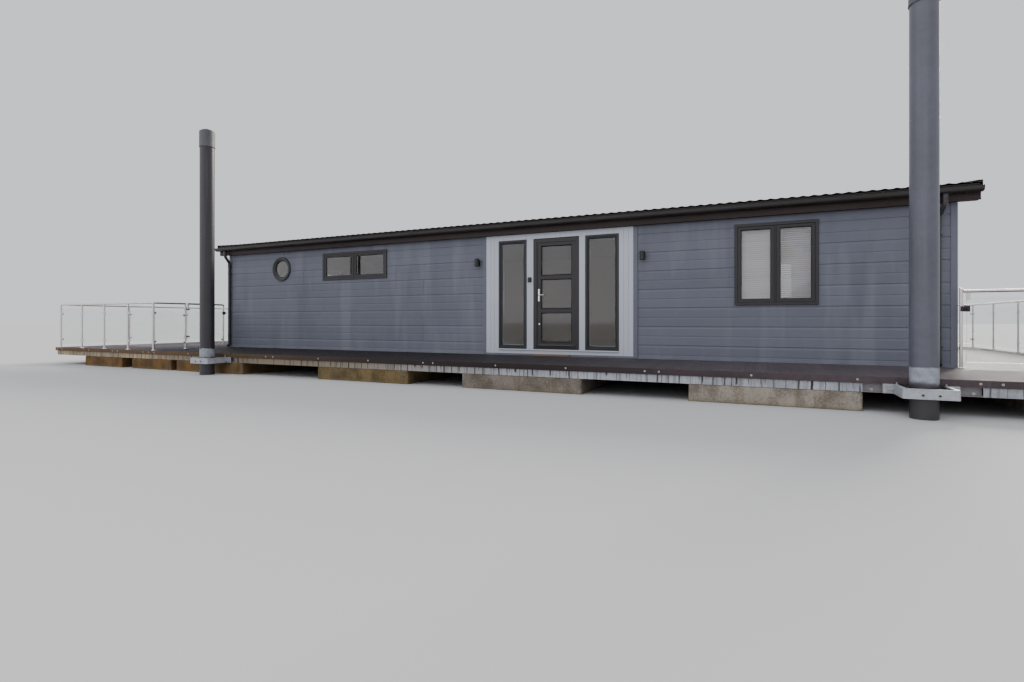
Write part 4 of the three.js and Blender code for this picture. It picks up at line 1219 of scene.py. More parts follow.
for label, make, section, look, slot in (
    ("rim", lathe_ring, ring, "anthracite", "anthracite"),
    ("seal", lathe_ring, seal, "rubber", "anthracite"),
    ("pane", lathe, disc, "glass", "glass"),
    ("reveal", lathe_ring, boards, "white_frame", "white"),
):
    shell = make(section, 96, (ROUND_X, 0, ROUND_Z), axis=1)
    replaced = [] if label == "reveal" else ["window_porthole"]
    piece(f"window_porthole_{label}", shell, look, slot, replaces=replaced, side="front")

# The pale boards that line each window's hole behind its frame
REVEAL = [
    (0, 0.0535), (0.010, 0.0535), (0.010, 0.1560), (-0.012, 0.1560), (-0.012, 0.1505),
    (0, 0.1505),
]
lined = []
for node, (side, _, _) in WINDOWS.items():
    lined.append(on_side(hoop(inset(rect_of(node, side), HAIR), REVEAL), side))
piece("window_reveals", lined, "white_frame", "white", smooth=False)


def blind(rect, pitch, tilt, name):
    """Slats between side guides: a shallow curved section tilted about its length, repeated up the
    window at the pitch, under a head box and over a bottom bar."""
    x0, x1, z0, z1 = rect
    width, half_thick, y = 0.036, 0.0003, 0.098
    t = np.linspace(-1, 1, 7)
    bow = 0.0022 * (1 - t ** 2)
    upper = np.stack([t * width / 2, bow + half_thick], 1)
    lower = np.stack([t * width / 2, bow - half_thick], 1)[::-1]
    c, s = math.cos(tilt), math.sin(tilt)
    section = np.concatenate([upper, lower]) @ np.array([[c, s], [-s, c]])
    heights = z1 - 0.055 - pitch * np.arange(int((z1 - z0 - 0.075) / pitch))
    slats = copies(prisms(section, 0, [(x0 + 0.004, x1 - 0.004)]), [(0, y, z) for z in heights], seed=7)
    rails = [
        plate((x0 + 0.002, x1 - 0.002, z1 - 0.032, z1 - GAP), y - 0.020, y + 0.020),
        plate((x0 + 0.004, x1 - 0.004, heights[-1] - 0.040, heights[-1] - 0.024), y - 0.018, y + 0.018),
    ]
    guides = [plate((x - 0.006, x + 0.006, z0, z1 - 0.0325), y - 0.022, y + 0.022) for x in (x0, x1)]
    piece(name, [slats, *rails, *guides], "slat", "white", side="front")


tall = inset(rect_of("window_tall"), 0.012)
tall_middle = (tall[0] + tall[1]) / 2
for x0, x1, degrees, state in (
    (tall[0] + 0.008, tall_middle - 0.008, 74, "shut"), (tall_middle + 0.008, tall[1] - 0.008, 54, "open"),
):
    blind((x0, x1, tall[2] + 0.001, tall[3]), 0.0335, math.radians(degrees), f"window_tall_blind_{state}")

JAMB, DOOR_SILL = 0.060, 0.040
fx0, fx1, fz0, fz1 = DOOR
LEAF = (fx0 + JAMB + 0.011, fx1 - JAMB - 0.006, fz0 + DOOR_SILL + 0.006, fz1 - JAMB - 0.006)
lx0, lx1, lz0, lz1 = LEAF
KNUCKLE = 0.008
DOOR_AXIS = (lx1 + 0.003, 0.0765)
DOOR_HINGES = (lz0 + 0.250, lz1 - 0.300)


def door_ring(y0, y1, lip):
    """The door frame's four bars between two depths, the lip reaching over the leaf's edge."""
    left, right, head = fx0 + JAMB + lip, fx1 - JAMB - lip, fz1 - JAMB - lip
    foot = fz0 + DOOR_SILL + min(lip, 0.002)
    return boxes(
        [(fx0 + GAP, y0, fz0 + GAP), (right, y0, fz0 + GAP), (left, y0, head), (left, y0, fz0 + GAP)],
        [(left, y1, fz1 - GAP), (fx1 - GAP, y1, fz1 - GAP), (right, y1, fz1 - GAP), (right, y1, foot)],
        0.0015,
    )


tread = [
    (0.060, fz0 + 0.040), (-0.020, fz0 + 0.036), (-0.034, fz0 + 0.030), (-0.034, fz0 + 0.024),
    (0.060, fz0 + 0.022),
]
front = {"side": "front"}
node = "entrance_door_frame"
outside = [door_ring(-0.020, -0.008, 0.012), door_ring(-0.0078, 0.0400, 0.0)]
dress(node, "outside", outside, "anthracite", "anthracite", **front)
dress(node, "inside", door_ring(0.0402, 0.0675, 0.0), "white_frame", "white", **front)
threshold = prisms(tread, 0, [(fx0 + JAMB + 0.001, fx1 - JAMB - 0.001)])
piece("entrance_door_threshold", threshold, "anthracite", "anthracite", replaces=[node], **front)

LEAF_STILE, LEAF_RAIL, TOP_RAIL, BOTTOM_RAIL, LEAF_PANES = 0.078, 0.068, 0.065, 0.084, 3
pane_height = (lz1 - TOP_RAIL - lz0 - BOTTOM_RAIL - (LEAF_PANES - 1) * LEAF_RAIL) / LEAF_PANES
pane_feet = lz0 + BOTTOM_RAIL + (pane_height + LEAF_RAIL) * np.arange(LEAF_PANES)
leaf_bays = [(lx0 + LEAF_STILE, lx1 - LEAF_STILE, foot, foot + pane_height) for foot in pane_feet]


def leaf_layer(y0, y1, grow=0.0):
    """The leaf's stiles and rails between two depths, grown towards the panes."""
    a, b = lx0 + LEAF_STILE + grow, lx1 - LEAF_STILE - grow
    rails = [(lz0, pane_feet[0] + grow)]
    for foot in pane_feet[:-1]:
        rails.append((foot + pane_height - grow, foot + pane_height + LEAF_RAIL + grow))
    rails.append((lz1 - TOP_RAIL - grow, lz1))
    lows = [(lx0, y0, lz0), (b, y0, lz0)] + [(a, y0, low) for low, high in rails]
    highs = [(a, y1, lz1), (lx1, y1, lz1)] + [(b, y1, high) for low, high in rails]
    return boxes(lows, highs, 0.0012)


def bay_hoops(outline):
    """An outline carried round each pane of the leaf."""
    return [hoop(bay, outline) for bay in leaf_bays]


weather_bar = prisms([
    (-0.0062, lz0 + 0.050), (-0.0062, lz0 + 0.014), (-0.026, lz0 + 0.014), (-0.028, lz0 + 0.020),
    (-0.012, lz0 + 0.046),
], 0, [(lx0 + 0.024, lx1 - 0.024)])
beads = bay_hoops([
    (-GAP, -0.006), (0.004, -0.008), (0.008, -0.004), (0.016, 0.008), (0.016, 0.0145),
    (-GAP, 0.0145),
])
inner_beads = bay_hoops([(-GAP, 0.0415), (0.014, 0.0415), (0.014, 0.046), (0.004, 0.060), (-GAP, 0.062)])
seals = bay_hoops([(0.014, 0.0148), (0.0185, 0.0110), (0.019, 0.0158), (0.014, 0.0158)])
outer_leaf = [leaf_layer(-0.006, 0.0158), leaf_layer(0.016, 0.040, -0.014), *beads, weather_bar]
inner_leaf = [leaf_layer(0.0402, 0.0620), *inner_beads]
sheets = [plate(inset(bay, -0.012), 0.0162, 0.0398, GAP) for bay in leaf_bays]
body, node = "entrance_door", "entrance_door_leaf"
dress(node, "outside", outer_leaf, "anthracite", "anthracite", body, side="front", smooth=False)
dress(node, "inside", inner_leaf, "white_frame", "white", body, side="front", smooth=False)
piece("entrance_door_seals", seals, "rubber", "anthracite", body, [node], **front)
piece("entrance_door_panes", sheets, "glass", "glass", body, ["entrance_door_glass"], **front)


def barrel(x, y, z0, z1):
    """A hinge knuckle: a short round bar with cut ends."""
    return rod((x, y, z0), (x, y, z1), KNUCKLE, 24, 0.0008)


def leaf_hinges(axis, face, way, heights):
    """The leaf's middle knuckles, each with the flap that is screwed to the leaf."""
    x, y = axis
    screwed = face - 0.0004 * np.sign(face - y)
    shells = [barrel(x, y, z + HAIR, z + 0.0397) for z in heights]
    for z in heights:
        shells.append(plate((x + way * 0.0045, x + way * 0.032, z + 0.002, z + 0.038), y, screwed, 0.001))
    return shells


def frame_hinges(axis, face, way, heights):
    """The frame's knuckles above and below, with their flaps."""
    x, y = axis
    screwed = face - 0.0004 * np.sign(face - y)
    shells = []
    for z in heights:
        for low, high in ((z - 0.030, z - HAIR), (z + 0.0403, z + 0.070)):
            shells.append(barrel(x, y, low, high))
            flap = (x - way * 0.0045, x - way * 0.032, low + 0.002, high - 0.002)
            shells.append(plate(flap, y, screwed, 0.001))
    return shells


leaf_parts = leaf_hinges(DOOR_AXIS, 0.0622, -1, DOOR_HINGES)
frame_parts = frame_hinges(DOOR_AXIS, 0.0677, -1, DOOR_HINGES)
piece("entrance_door_hinge_leaves", leaf_parts, "chrome", "chrome", body, [node], **front)
hinged_to = ["entrance_door_frame"]
piece("entrance_door_hinge_frames", frame_parts, "chrome", "chrome", replaces=hinged_to, **front)


def lever_set(x, z, face, out, way):
    """A long plate with a lever on its spindle's boss: a tube bent once, and the lock's cylinder."""
    def at(u, depth, v):
        """A point so far along the wall, out of the face and up from the spindle."""
        return (x + u, face + out * depth, z + v)

    arm = fillet([at(0, 0.008, 0), at(0, 0.048, 0), at(way * 0.118, 0.048, 0)], 0.016, 8)
    return [
        tube(arm, 0.0085, 20),
        box(at(-0.017, 0.0004, -0.120), at(0.017, 0.0095, 0.120), 0.004),
        rod(at(0, 0.009, 0), at(0, 0.016, 0), 0.0135, 28),
        rod(at(0, 0.009, -0.072), at(0, 0.0125, -0.072), 0.0085, 24),
        box(at(-0.0015, 0.0121, -0.079), at(0.0015, 0.0133, -0.065), 0.0003),
    ]


LEVER_X, LEVER_Z, ROSE_X, ROSE_Z = 1.790, 1.585, 1.800, 1.033
handle = [
    *lever_set(LEVER_X, LEVER_Z, -0.006, -1, 1), *lever_set(LEVER_X, LEVER_Z, 0.062, 1, 1),
    rod((ROSE_X, -0.0065, ROSE_Z), (ROSE_X, -0.014, ROSE_Z), 0.016, 32),
    rod((ROSE_X, -0.013, ROSE_Z), (ROSE_X, -0.0165, ROSE_Z), 0.009, 24),
]
piece("entrance_door_lever", handle, "chrome", "chrome", body, ["entrance_door_handle"], **front)
step = plate((1.68, 2.42, DECK_TOP + GAP, DECK_TOP + 0.035), -0.095, -0.046, 0.004)
piece("entrance_step_board", step, "timber", "decking", **front)
key_box = [
    plate((1.565, 1.640, 1.836, 1.929), -0.044, -0.0165, 0.005),
    plate((1.572, 1.633, 1.842, 1.905), -0.050, -0.0435, 0.004),
]
piece("entrance_key_box", key_box, "lamp", "lamp", **front)


# End doors. Outlines of (inset, y)

END_AXIS = (0.897, -0.0085)
END_HINGES = (END_DOOR[2] + 0.250, END_DOOR[3] - 0.300)
LEAF_OUTLINE = [
    (0, 0.0015), (0.0015, 0), (0.078, 0), (0.082, -0.002), (0.086, 0.003), (0.100, 0.011),
    (0.100, 0.0155), (0.086, 0.0157), (0.086, 0.0330), (0, 0.0330),
]
LEAF_INNER = [
    (0, 0.0332), (0.086, 0.0332), (0.086, 0.0405), (0.100, 0.0405), (0.100, 0.044), (0.090, 0.056),
    (0, 0.056),
]
END_SEAL = [(0.098, 0.0112), (0.1035, 0.0122), (0.1035, 0.0157), (0.098, 0.0157)]
END_LINER = [
    (0, 0.001), (0.0028, 0.001), (0.0028, 0.1560), (-0.045, 0.1560), (-0.045, 0.1503), (0, 0.1503),
]
END_CASING = [
    (0, -0.008), (0.002, -0.010), (0.052, -0.010), (0.055, -0.006), (0.055, -0.0006), (0, -0.0006),
]
for end in ("left", "right"):
    for label, a, b, way in (("a", -0.894, -0.005, -1), ("b", 0.005, 0.894, 1)):
        node, body = f"{end}_end_door_{label}", f"{end}_door_{label}"
        rect = (a, b, END_DOOR[2] + 0.006, END_DOOR[3] - 0.006)
        outside = [hoop(rect, LEAF_OUTLINE)]
        if label == "b":
            outside.append(plate((-0.012, 0.016, rect[2] + 0.01, rect[3] - 0.01), -0.008, -0.0004))
        lever_x = (a if way > 0 else b) + way * 0.050
        levers = lever_set(lever_x, LEVER_Z, 0.0, -1, way) + lever_set(lever_x, LEVER_Z, 0.056, 1, way)
        hinge_leaves = leaf_hinges((way * END_AXIS[0], END_AXIS[1]), 0.0, -way, END_HINGES)
        for name, parts, look, slot, smooth in (
            ("outside", outside, "anthracite", "anthracite", False),
            ("inside", hoop(rect, LEAF_INNER), "white_frame", "white", False),
            ("pane", plate(inset(rect, 0.088), 0.0160, 0.0400, GAP), "glass", "glass", False),
            ("seal", hoop(rect, END_SEAL), "rubber", "anthracite", False),
            ("levers", levers, "chrome", "chrome", True),
            ("hinge_leaves", hinge_leaves, "chrome", "chrome", True),
        ):
            dress(node, name, parts, look, slot, body, side=end, smooth=smooth)
    barrels = []
    for way in (-1, 1):
        barrels += frame_hinges((way * END_AXIS[0], END_AXIS[1]), 0.0, -way, END_HINGES)
    walls = {"replaces": [f"wall_{end}_end"], "side": end}
    piece(f"{end}_end_hinge_frames", barrels, "chrome", "chrome", **walls)
    piece(f"{end}_end_door_liner", hoop(END_DOOR, END_LINER), "white_frame", "white", smooth=False, **walls)
    casing = hoop(inset(END_DOOR, -0.090), END_CASING)
    piece(f"{end}_end_door_casing", casing, "anthracite", "anthracite", side=end, smooth=False)

# Wall lights: sections of (radius, z), turned upright
BODY = [
    (0, -0.058), (0.034, -0.058), (0.037, -0.075), (0.043, -0.075), (0.045, -0.073),
    (0.045, 0.073), (0.043, 0.075), (0.037, 0.075), (0.034, 0.058), (0, 0.058),
]
LENS = [(0, -0.0575), (0.030, -0.0575), (0.0335, -0.0600), (0.030, -0.0640), (0, -0.0655)]
for node in ("wall_light_left", "wall_light_right"):
    x, _, z = middle(node)
    at = (x, -0.070, z)
    case = [
        lathe(BODY, 48, at),
        plate((x - 0.040, x + 0.040, z - 0.060, z + 0.060), -0.012, -0.0008, 0.003),
        plate((x - 0.015, x + 0.015, z - 0.018, z + 0.018), -0.032, -0.0118),
    ]
    dress(node, "body", case, "lamp", "lamp", side="front")
    lenses = [lathe(LENS, 40, at), lathe(np.array(LENS) * (1, -1), 40, at)]
    dress(node, "lenses", lenses, "lens", "lamp", side="front")


# Roof

TILE_WAVE = 0.150
TILE_ROWS = 9
WAVE_HEIGHT, TOOTH = 0.014, 0.014
# along a row of tiles, from its upper edge down: how far, and the share of the tooth's height
TOOTH_SHAPE = [(0.0, 0.0), (0.30, 0.33), (0.93, 0.93), (0.985, 1.0)]


def sheet_of_tiles():
    """The rear slope. Its height over the roof's plane is a raised cosine wave along X, sharpened,
    plus a tooth that grows down each row of tiles and falls back where the next row starts."""
    waves = round((ROOF_X[1] - ROOF_X[0]) / TILE_WAVE)
    u = np.linspace(0, waves, waves * 6 + 1)
    x = ROOF_X[0] + 0.004 + (ROOF_X[1] - ROOF_X[0] - 0.008) * u / waves
    marks, shares = np.array(TOOTH_SHAPE).T
    rows = np.append((np.arange(TILE_ROWS)[:, None] + marks).ravel(), TILE_ROWS)
    tooth = np.append(np.tile(TOOTH * shares, TILE_ROWS), TOOTH)
    y = rows / TILE_ROWS * (EAVE_Y + 0.012)
    wave = WAVE_HEIGHT * (0.5 - 0.5 * np.cos(2 * np.pi * u)) ** 1.4
    z = (ROOF_TOP_Z - y * math.tan(PITCH) + tooth - 0.020)[:, None] + wave[None, :]
    return thick(np.stack([*np.broadcast_arrays(x[None, :], y[:, None], z)], -1), (0, 0, -0.006))


def thick(top, drop):
    """A sheet with two faces: a grid of points, the same grid dropped, and a skirt round both."""
    rows, columns = top.shape[:2]
    upper = grid_faces(rows, columns, round_columns=False)
    count = rows * columns
    index = np.arange(count).reshape(rows, columns)
    border = np.concatenate([index[0], index[1:, -1], index[-1, -2::-1], index[-2:0:-1, 0]])
    after = np.roll(border, -1)
    skirt = np.stack([after, border, border + count, after + count], 1)
    points = np.concatenate([top.reshape(-1, 3), (top + np.array(drop)).reshape(-1, 3)])
    return Shell(points, [upper, upper[:, ::-1] + count, skirt]).outward()


def sloped(y0, y1, low, high):
    """An outline of (y, z) that follows the roof's underside between two heights over it."""
    return [(y0, under(y0) + low), (y1, under(y1) + low), (y1, under(y1) + high), (y0, under(y0) + high)]


BOARDED_X = [(ROOF_X[0] + 0.021, ROOF_X[1] - 0.021)]
CEILING_Y = EAVE_Y - 0.030
CLOSER_Y = EAVE_Y - 0.0298
tiles = sheet_of_tiles()
ceiling = prisms(sloped(GAP, CEILING_Y, 0, 0.022), 0, BOARDED_X)
closer = rectangle(CLOSER_Y, CLOSER_Y + 0.003, under(CLOSER_Y), under(CLOSER_Y) + 0.026)
lath_y = np.linspace(0.10, EAVE_Y - 0.055, TILE_ROWS + 1)
battens = [closer] + [sloped(y, y + 0.04, 0.0225, 0.040) for y in lath_y]
battens = [prisms(outline, 0, BOARDED_X) for outline in battens]
for way, node in ((1, "roof_rear"), (-1, "roof_front")):
    dress(node, "tiles", facing(way, tiles), "roofing", "roofing")
    dress(node, "ceiling", facing(way, ceiling), "lining", "white")
    dress(node, "battens", facing(way, *battens), "trim", "roofing")

RIDGE_HALF = 0.140
RIDGE_TOP = span("z", "ridge_cap")[1]


def ridge_outline(grow):
    """A ridge tile's section: a hyperbola over the ridge, and the same again lower and narrower."""
    y = np.linspace(-RIDGE_HALF - grow, RIDGE_HALF + grow, 17)
    z = RIDGE_TOP + 0.030 + grow - np.sqrt(0.030 ** 2 + (0.42 * y) ** 2)
    return np.concatenate([np.stack([y, z], 1), np.stack([y * 0.96, z - 0.014 - grow], 1)[::-1]])


def joined(marks, low, high):
    """Spans over the inner marks, from so far before each to so far after it."""
    return np.stack([marks[1:-1] - low, marks[1:-1] + high], 1)


ridge_marks = np.linspace(ROOF_X[0] + 0.001, ROOF_X[1] - 0.001, 36)
stop_outline = [*ridge_outline(0.006)[:17], (0.11, RIDGE_TOP - 0.075), (-0.11, RIDGE_TOP - 0.075)]
stop_spans = [(ROOF_X[0] - 0.006, ROOF_X[0] + GAP), (ROOF_X[1] - GAP, ROOF_X[1] + 0.006)]
ridge = [
    prisms(ridge_outline(0.0), 0, between(ridge_marks, 0.001), seed=4),
    prisms(ridge_outline(0.006), 0, joined(ridge_marks, 0.045, 0.004), seed=5),
    prisms(stop_outline, 0, stop_spans),
]
dress("ridge_cap", "tiles", ridge, "roofing", "roofing")

# Eaves. Outlines of (y, z), made for the rear
fascia = [
    (FASCIA_Y - 0.020, FASCIA_TOP), (FASCIA_Y - 0.020, SOFFIT_Z + 0.004), (FASCIA_Y - 0.017, SOFFIT_Z),
    (FASCIA_Y - 0.003, SOFFIT_Z), (FASCIA_Y, SOFFIT_Z + 0.003), (FASCIA_Y, SOFFIT_Z + 0.020),
    (FASCIA_Y - 0.003, SOFFIT_Z + 0.024), (FASCIA_Y - 0.003, FASCIA_TOP),
]
cover = rectangle(FASCIA_Y - 0.0028, FASCIA_Y - GAP, SOFFIT_Z + 0.026, FASCIA_TOP - 0.002)
# y, and the height over the soffit: a flat strip with two grooves in its underside
soffit = [(y, SOFFIT_Z + over) for y, over in (
    (CABIN_Y[1] + 0.0125, 0.001), (3.080, 0.001), (3.080, 0.004), (3.084, 0.004), (3.084, 0.001),
    (3.104, 0.001), (3.104, 0.004), (3.108, 0.004), (3.108, 0.001), (FASCIA_Y - 0.0205, 0.001),
    (FASCIA_Y - 0.0205, 0.012), (CABIN_Y[1] + 0.0125, 0.012),
)]
gutter_outline = [
    (3.152, 2.946), (3.152, 2.900), (3.156, 2.885), (3.166, 2.874), (3.180, 2.870), (3.248, 2.870),
    (3.272, 2.876), (3.287, 2.890), (3.294, 2.910), (3.297, 2.936), (3.3005, 2.939),
    (3.3005, 2.946), (3.294, 2.9475), (3.2905, 2.945), (3.2905, 2.940), (3.2925, 2.937),
    (3.2895, 2.911), (3.283, 2.893), (3.270, 2.8805), (3.247, 2.8745), (3.181, 2.8745),
    (3.169, 2.878), (3.160, 2.887), (3.1565, 2.901), (3.1565, 2.946),
]
sleeve = [
    (3.1535, 2.9440), (3.1500, 2.9440), (3.1500, 2.899), (3.154, 2.884), (3.165, 2.8715),
    (3.180, 2.8668), (3.249, 2.8668), (3.274, 2.8735), (3.290, 2.888), (3.2975, 2.909),
    (3.3015, 2.935), (3.3040, 2.938), (3.3040, 2.949), (3.294, 2.951), (3.2890, 2.949),
    (3.2890, 2.9465), (3.294, 2.9480), (3.3010, 2.9465), (3.3010, 2.939), (3.2975, 2.936),
    (3.2945, 2.910), (3.2873, 2.8898), (3.2722, 2.8757), (3.248, 2.8697), (3.180, 2.8697),
    (3.1658, 2.8737), (3.1557, 2.885), (3.1517, 2.900),
]
end_plate = [
    (3.150, 2.947), (3.150, 2.899), (3.155, 2.884), (3.166, 2.873), (3.180, 2.8690),
    (3.249, 2.8690), (3.273, 2.875), (3.288, 2.889), (3.2955, 2.910), (3.299, 2.936),
    (3.3015, 2.947),
]
UNIONS = [-4.9, -1.0, 2.9, 6.8]
BRACKETS = np.arange(ROOF_X[0] + 0.35, ROOF_X[1], 0.82)
end_spans = [(ROOF_X[0] - 0.002, ROOF_X[0] + 0.0015), (ROOF_X[1] - 0.0015, ROOF_X[1] + 0.002)]
fascia_marks = np.linspace(*FASCIA_X, 5)
fascia_parts = [
    prisms(fascia, 0, between(fascia_marks, 0.001), seed=3),
    prisms(cover, 0, joined(fascia_marks, 0.03, 0.03)),
    prisms(soffit, 0, [FASCIA_X]),
]
gutter_parts = [
    prisms(gutter_outline, 0, between([ROOF_X[0], *UNIONS, ROOF_X[1]], 0.002), seed=9),
    prisms(sleeve, 0, [(x - 0.055, x + 0.055) for x in UNIONS]),
    prisms(end_plate, 0, end_spans),
    *(box((x - 0.011, 3.1502, 2.948), (x + 0.011, 3.3035, 2.9505), 0.0008) for x in BRACKETS),
    *(box((x - 0.011, 3.3010, 2.925), (x + 0.011, 3.3035, 2.9495), 0.0008) for x in BRACKETS),
]
PIPE_HALF = 0.036
GUTTER_PIPE_Y, WALL_PIPE_Y, SHOE_Y = 3.225, 3.102, 3.150


def downpipe(outlet, x):
    """A pipe from the gutter's outlet, bent back to the wall and down it to a shoe, with its
    sockets and two straps."""
    swan = fillet([
        (outlet, GUTTER_PIPE_Y, 2.874), (outlet, GUTTER_PIPE_Y, 2.730), (x, WALL_PIPE_Y, 2.580),
        (x, WALL_PIPE_Y, DECK_TOP + 0.060),
    ], 0.045, 7)
    parts = [tube(swan, 0.034, 28)]
    for across, y, low, high, radius in (
        (outlet, GUTTER_PIPE_Y, 2.800, 2.8695, 0.039), (outlet, GUTTER_PIPE_Y, 2.860, 2.8698, 0.046),
        (x, WALL_PIPE_Y, 2.480, 2.545, 0.039), (x, WALL_PIPE_Y, 0.482, 0.560, 0.037),
    ):
        parts.append(rod((across, y, low), (across, y, high), radius, 32, 0.002))
    for z in (0.700, 2.300):
        parts.append(lathe_ring(rectangle(0.0342, 0.0385, 0, 0.030), 32, (x, WALL_PIPE_Y, z)))
        parts.append(box((x - 0.022, 3.0503, z + 0.001), (x + 0.022, 3.0690, z + 0.029)))
        parts.append(box((x + 0.030, 3.092, z + 0.004), (x + 0.050, 3.112, z + 0.026), 0.001))
    shoe = fillet([
        (x, WALL_PIPE_Y, DECK_TOP + 0.120), (x, WALL_PIPE_Y, DECK_TOP + 0.062),
        (x, SHOE_Y, DECK_TOP + 0.040),
    ], 0.030, 6)
    return [*parts, tube(shoe, 0.0365, 28)]


for way, label in ((1, "rear"), (-1, "front")):
    dress(f"fascia_{label}", "boards", facing(way, *fascia_parts), "trim", "trim", smooth=False)
    dress(f"gutter_{label}", "channel", facing(way, *gutter_parts), "gutter", "trim")
    for end in ("left", "right"):
        node = f"downpipe_{label}_{end}"
        low_x, high_x = span("x", node)
        pipe_parts = downpipe(high_x - PIPE_HALF, low_x + PIPE_HALF)
        dress(node, "pipe", facing(way, *pipe_parts), "pipe", "trim")

BARGE = under(FASCIA_Y) - SOFFIT_Z


def rake(way, drop, depth, y_end, spans):
    """One side of a gable: a board whose edges follow the roof, from the ridge down."""
    ys = (0.0008, y_end)
    low = [(way * y, under(y) - drop - depth) for y in ys]
    high = [(way * y, under(y) - drop) for y in ys[::-1]]
    return prisms(low + high, 0, [sorted(spans)])


for end, out, face, wall_x in (("left", -1, ROOF_X[0], CABIN_X[0]), ("right", 1, ROOF_X[1], CABIN_X[1])):
    board_x = (face, face - out * 0.020)
    soffit_x = (face - out * 0.0205, wall_x + out * HAIR)
    lip_x = (face, face + out * 0.003)
    edge_x = (face + out * 0.004, face - out * 0.045)
    shells = []
    for way in (-1, 1):
        shells += [
            rake(way, GAP, BARGE - 0.0008, FASCIA_Y, board_x),
            rake(way, BARGE - 0.024, 0.023, FASCIA_Y, lip_x),
            rake(way, BARGE - 0.013, 0.011, CABIN_HALF - GAP, soffit_x),
            rake(way, -TILE - 0.020, 0.0035, EAVE_Y + 0.010, edge_x),
            rake(way, -TILE - 0.020, TILE + 0.018, EAVE_Y + 0.010, lip_x),
        ]
    dress(f"bargeboard_{end}", "boards", shells, "trim", "trim", smooth=False)


# Deck, pontoon and floats

BOARD_WIDTH = 0.1435


def deck_board_outline():
    """A grooved board's section of (z, x): its top dips 2 mm at seven grooves between round edges."""
    half, top, low = BOARD_WIDTH / 2, DECK_TOP, DECK_TOP - DECK_BOARD
    left = [(low, -half), (top - 0.003, -half), (top - 0.0008, -half + 0.0008), (top, -half + 0.003)]
    outline = list(left)
    for mark in np.linspace(-half + 0.018, half - 0.018, 7):
        for dip, across in ((0, -0.0035), (0.0022, -0.0015), (0.0022, 0.0015), (0, 0.0035)):
            outline.append((top - dip, mark + across))
    return outline + [(z, -x) for z, x in left[::-1]]


def edge_run(along_x, start, stop, at, way, marks):
    """Edge boards round the rim with rounded tops, butted at the marks."""
    low, high = EDGE_BOTTOM, DECK_TOP
    section = [
        (0, low + 0.002), (0.002, low), (EDGE_BOARD, low), (EDGE_BOARD, high), (0.008, high),
        (0.0025, high - 0.002), (0, high - 0.008),
    ]
    marks = [mark for mark in marks if start + 0.1 < mark < stop - 0.1]
    spans = between([start, *marks, stop], 0.0015)
    seed = round(10 * abs(at))
    if along_x:
        return prisms([(at + way * u, z) for u, z in section], 0, spans, seed=seed)
    return prisms([(z, at + way * u) for u, z in section], 1, spans, seed=seed)


HEX = [(math.cos(a) * 0.011, math.sin(a) * 0.011) for a in np.arange(6) * np.pi / 3]
RIM = EDGE_BOARD + 0.001
DECK_X = (PONTOON_X[0] + RIM, PONTOON_X[1] - RIM)
DECK_SPANS = {
    "deck_front": (*DECK_X, PONTOON_Y[0] + RIM, span("y", "deck_front")[1]),
    "deck_rear": (*DECK_X, span("y", "deck_rear")[0], PONTOON_Y[1] - RIM),
    "deck_left": (DECK_X[0], span("x", "deck_left")[1], *span("y", "deck_left")),
    "deck_right": (span("x", "deck_right")[0], DECK_X[1], *span("y", "deck_right")),
}
board_grid = BOARD_PITCH * np.arange(-80, 81)
EDGE_MARKS = [4.264 + 3.703 * k for k in range(-4, 2)]
BOLT_STEPS = (0.097, 1.268, 2.438, 3.606)
BOLT_Z = 0.386
for node, (a, b, y0, y1) in DECK_SPANS.items():
    middles = board_grid[(board_grid - 0.07 > a - 0.0001) & (board_grid + 0.07 < b + 0.0001)]
    board = prisms(deck_board_outline(), 1, [(y0 + GAP, y1 - GAP)])
    boards = [copies(board, [(x, 0, 0) for x in middles], seed=len(node))]
    for low, high in ((a, middles[0] - 0.075), (middles[-1] + 0.075, b)):
        if high - low > 0.012:
            boards.append(box((low, y0 + GAP, DECK_TOP - DECK_BOARD), (high, y1 - GAP, DECK_TOP)))
    dress(node, "boards", boards, "decking", "decking")
    if node in ("deck_left", "deck_right"):
        x, inward = (PONTOON_X[0], 1) if node == "deck_left" else (PONTOON_X[1], -1)
        dress(node, "edge_boards", edge_run(False, y0, y1, x, inward, [-0.9]), "edge_board", "decking")
        continue
    way, face, inner = (1, PONTOON_Y[0], y1) if node == "deck_front" else (-1, PONTOON_Y[1], y0)
    rims = [edge_run(True, *PONTOON_X, face, way, EDGE_MARKS)]
    ends = sorted((face + way * RIM, inner))
    for x, inward in zip(PONTOON_X, (1, -1)):
        rims.append(edge_run(False, *ends, x, inward, []))
    dress(node, "edge_boards", rims, "edge_board", "decking")
    spots = [mark + step for mark in (PONTOON_X[0], *EDGE_MARKS) for step in BOLT_STEPS]
    washer = lathe(rectangle(0, 0.014, -0.0015, GAP), 20, axis=1)
    head = prisms([(v, u) for u, v in HEX], 1, [(-0.0075, -0.0012)])
    bolts = copies(together(washer, head), [(x, 0, BOLT_Z) for x in spots if x < PONTOON_X[1] - 0.05])
    [bolts] = facing(way, bolts)
    dress(node, "bolts", bolts.moved((0, face, 0)), "bolt", "galvanised")

WEB, FLANGE, BEAM_WIDTH = 0.007, 0.009, 0.080
beam_low, beam_high = FRAME_Z
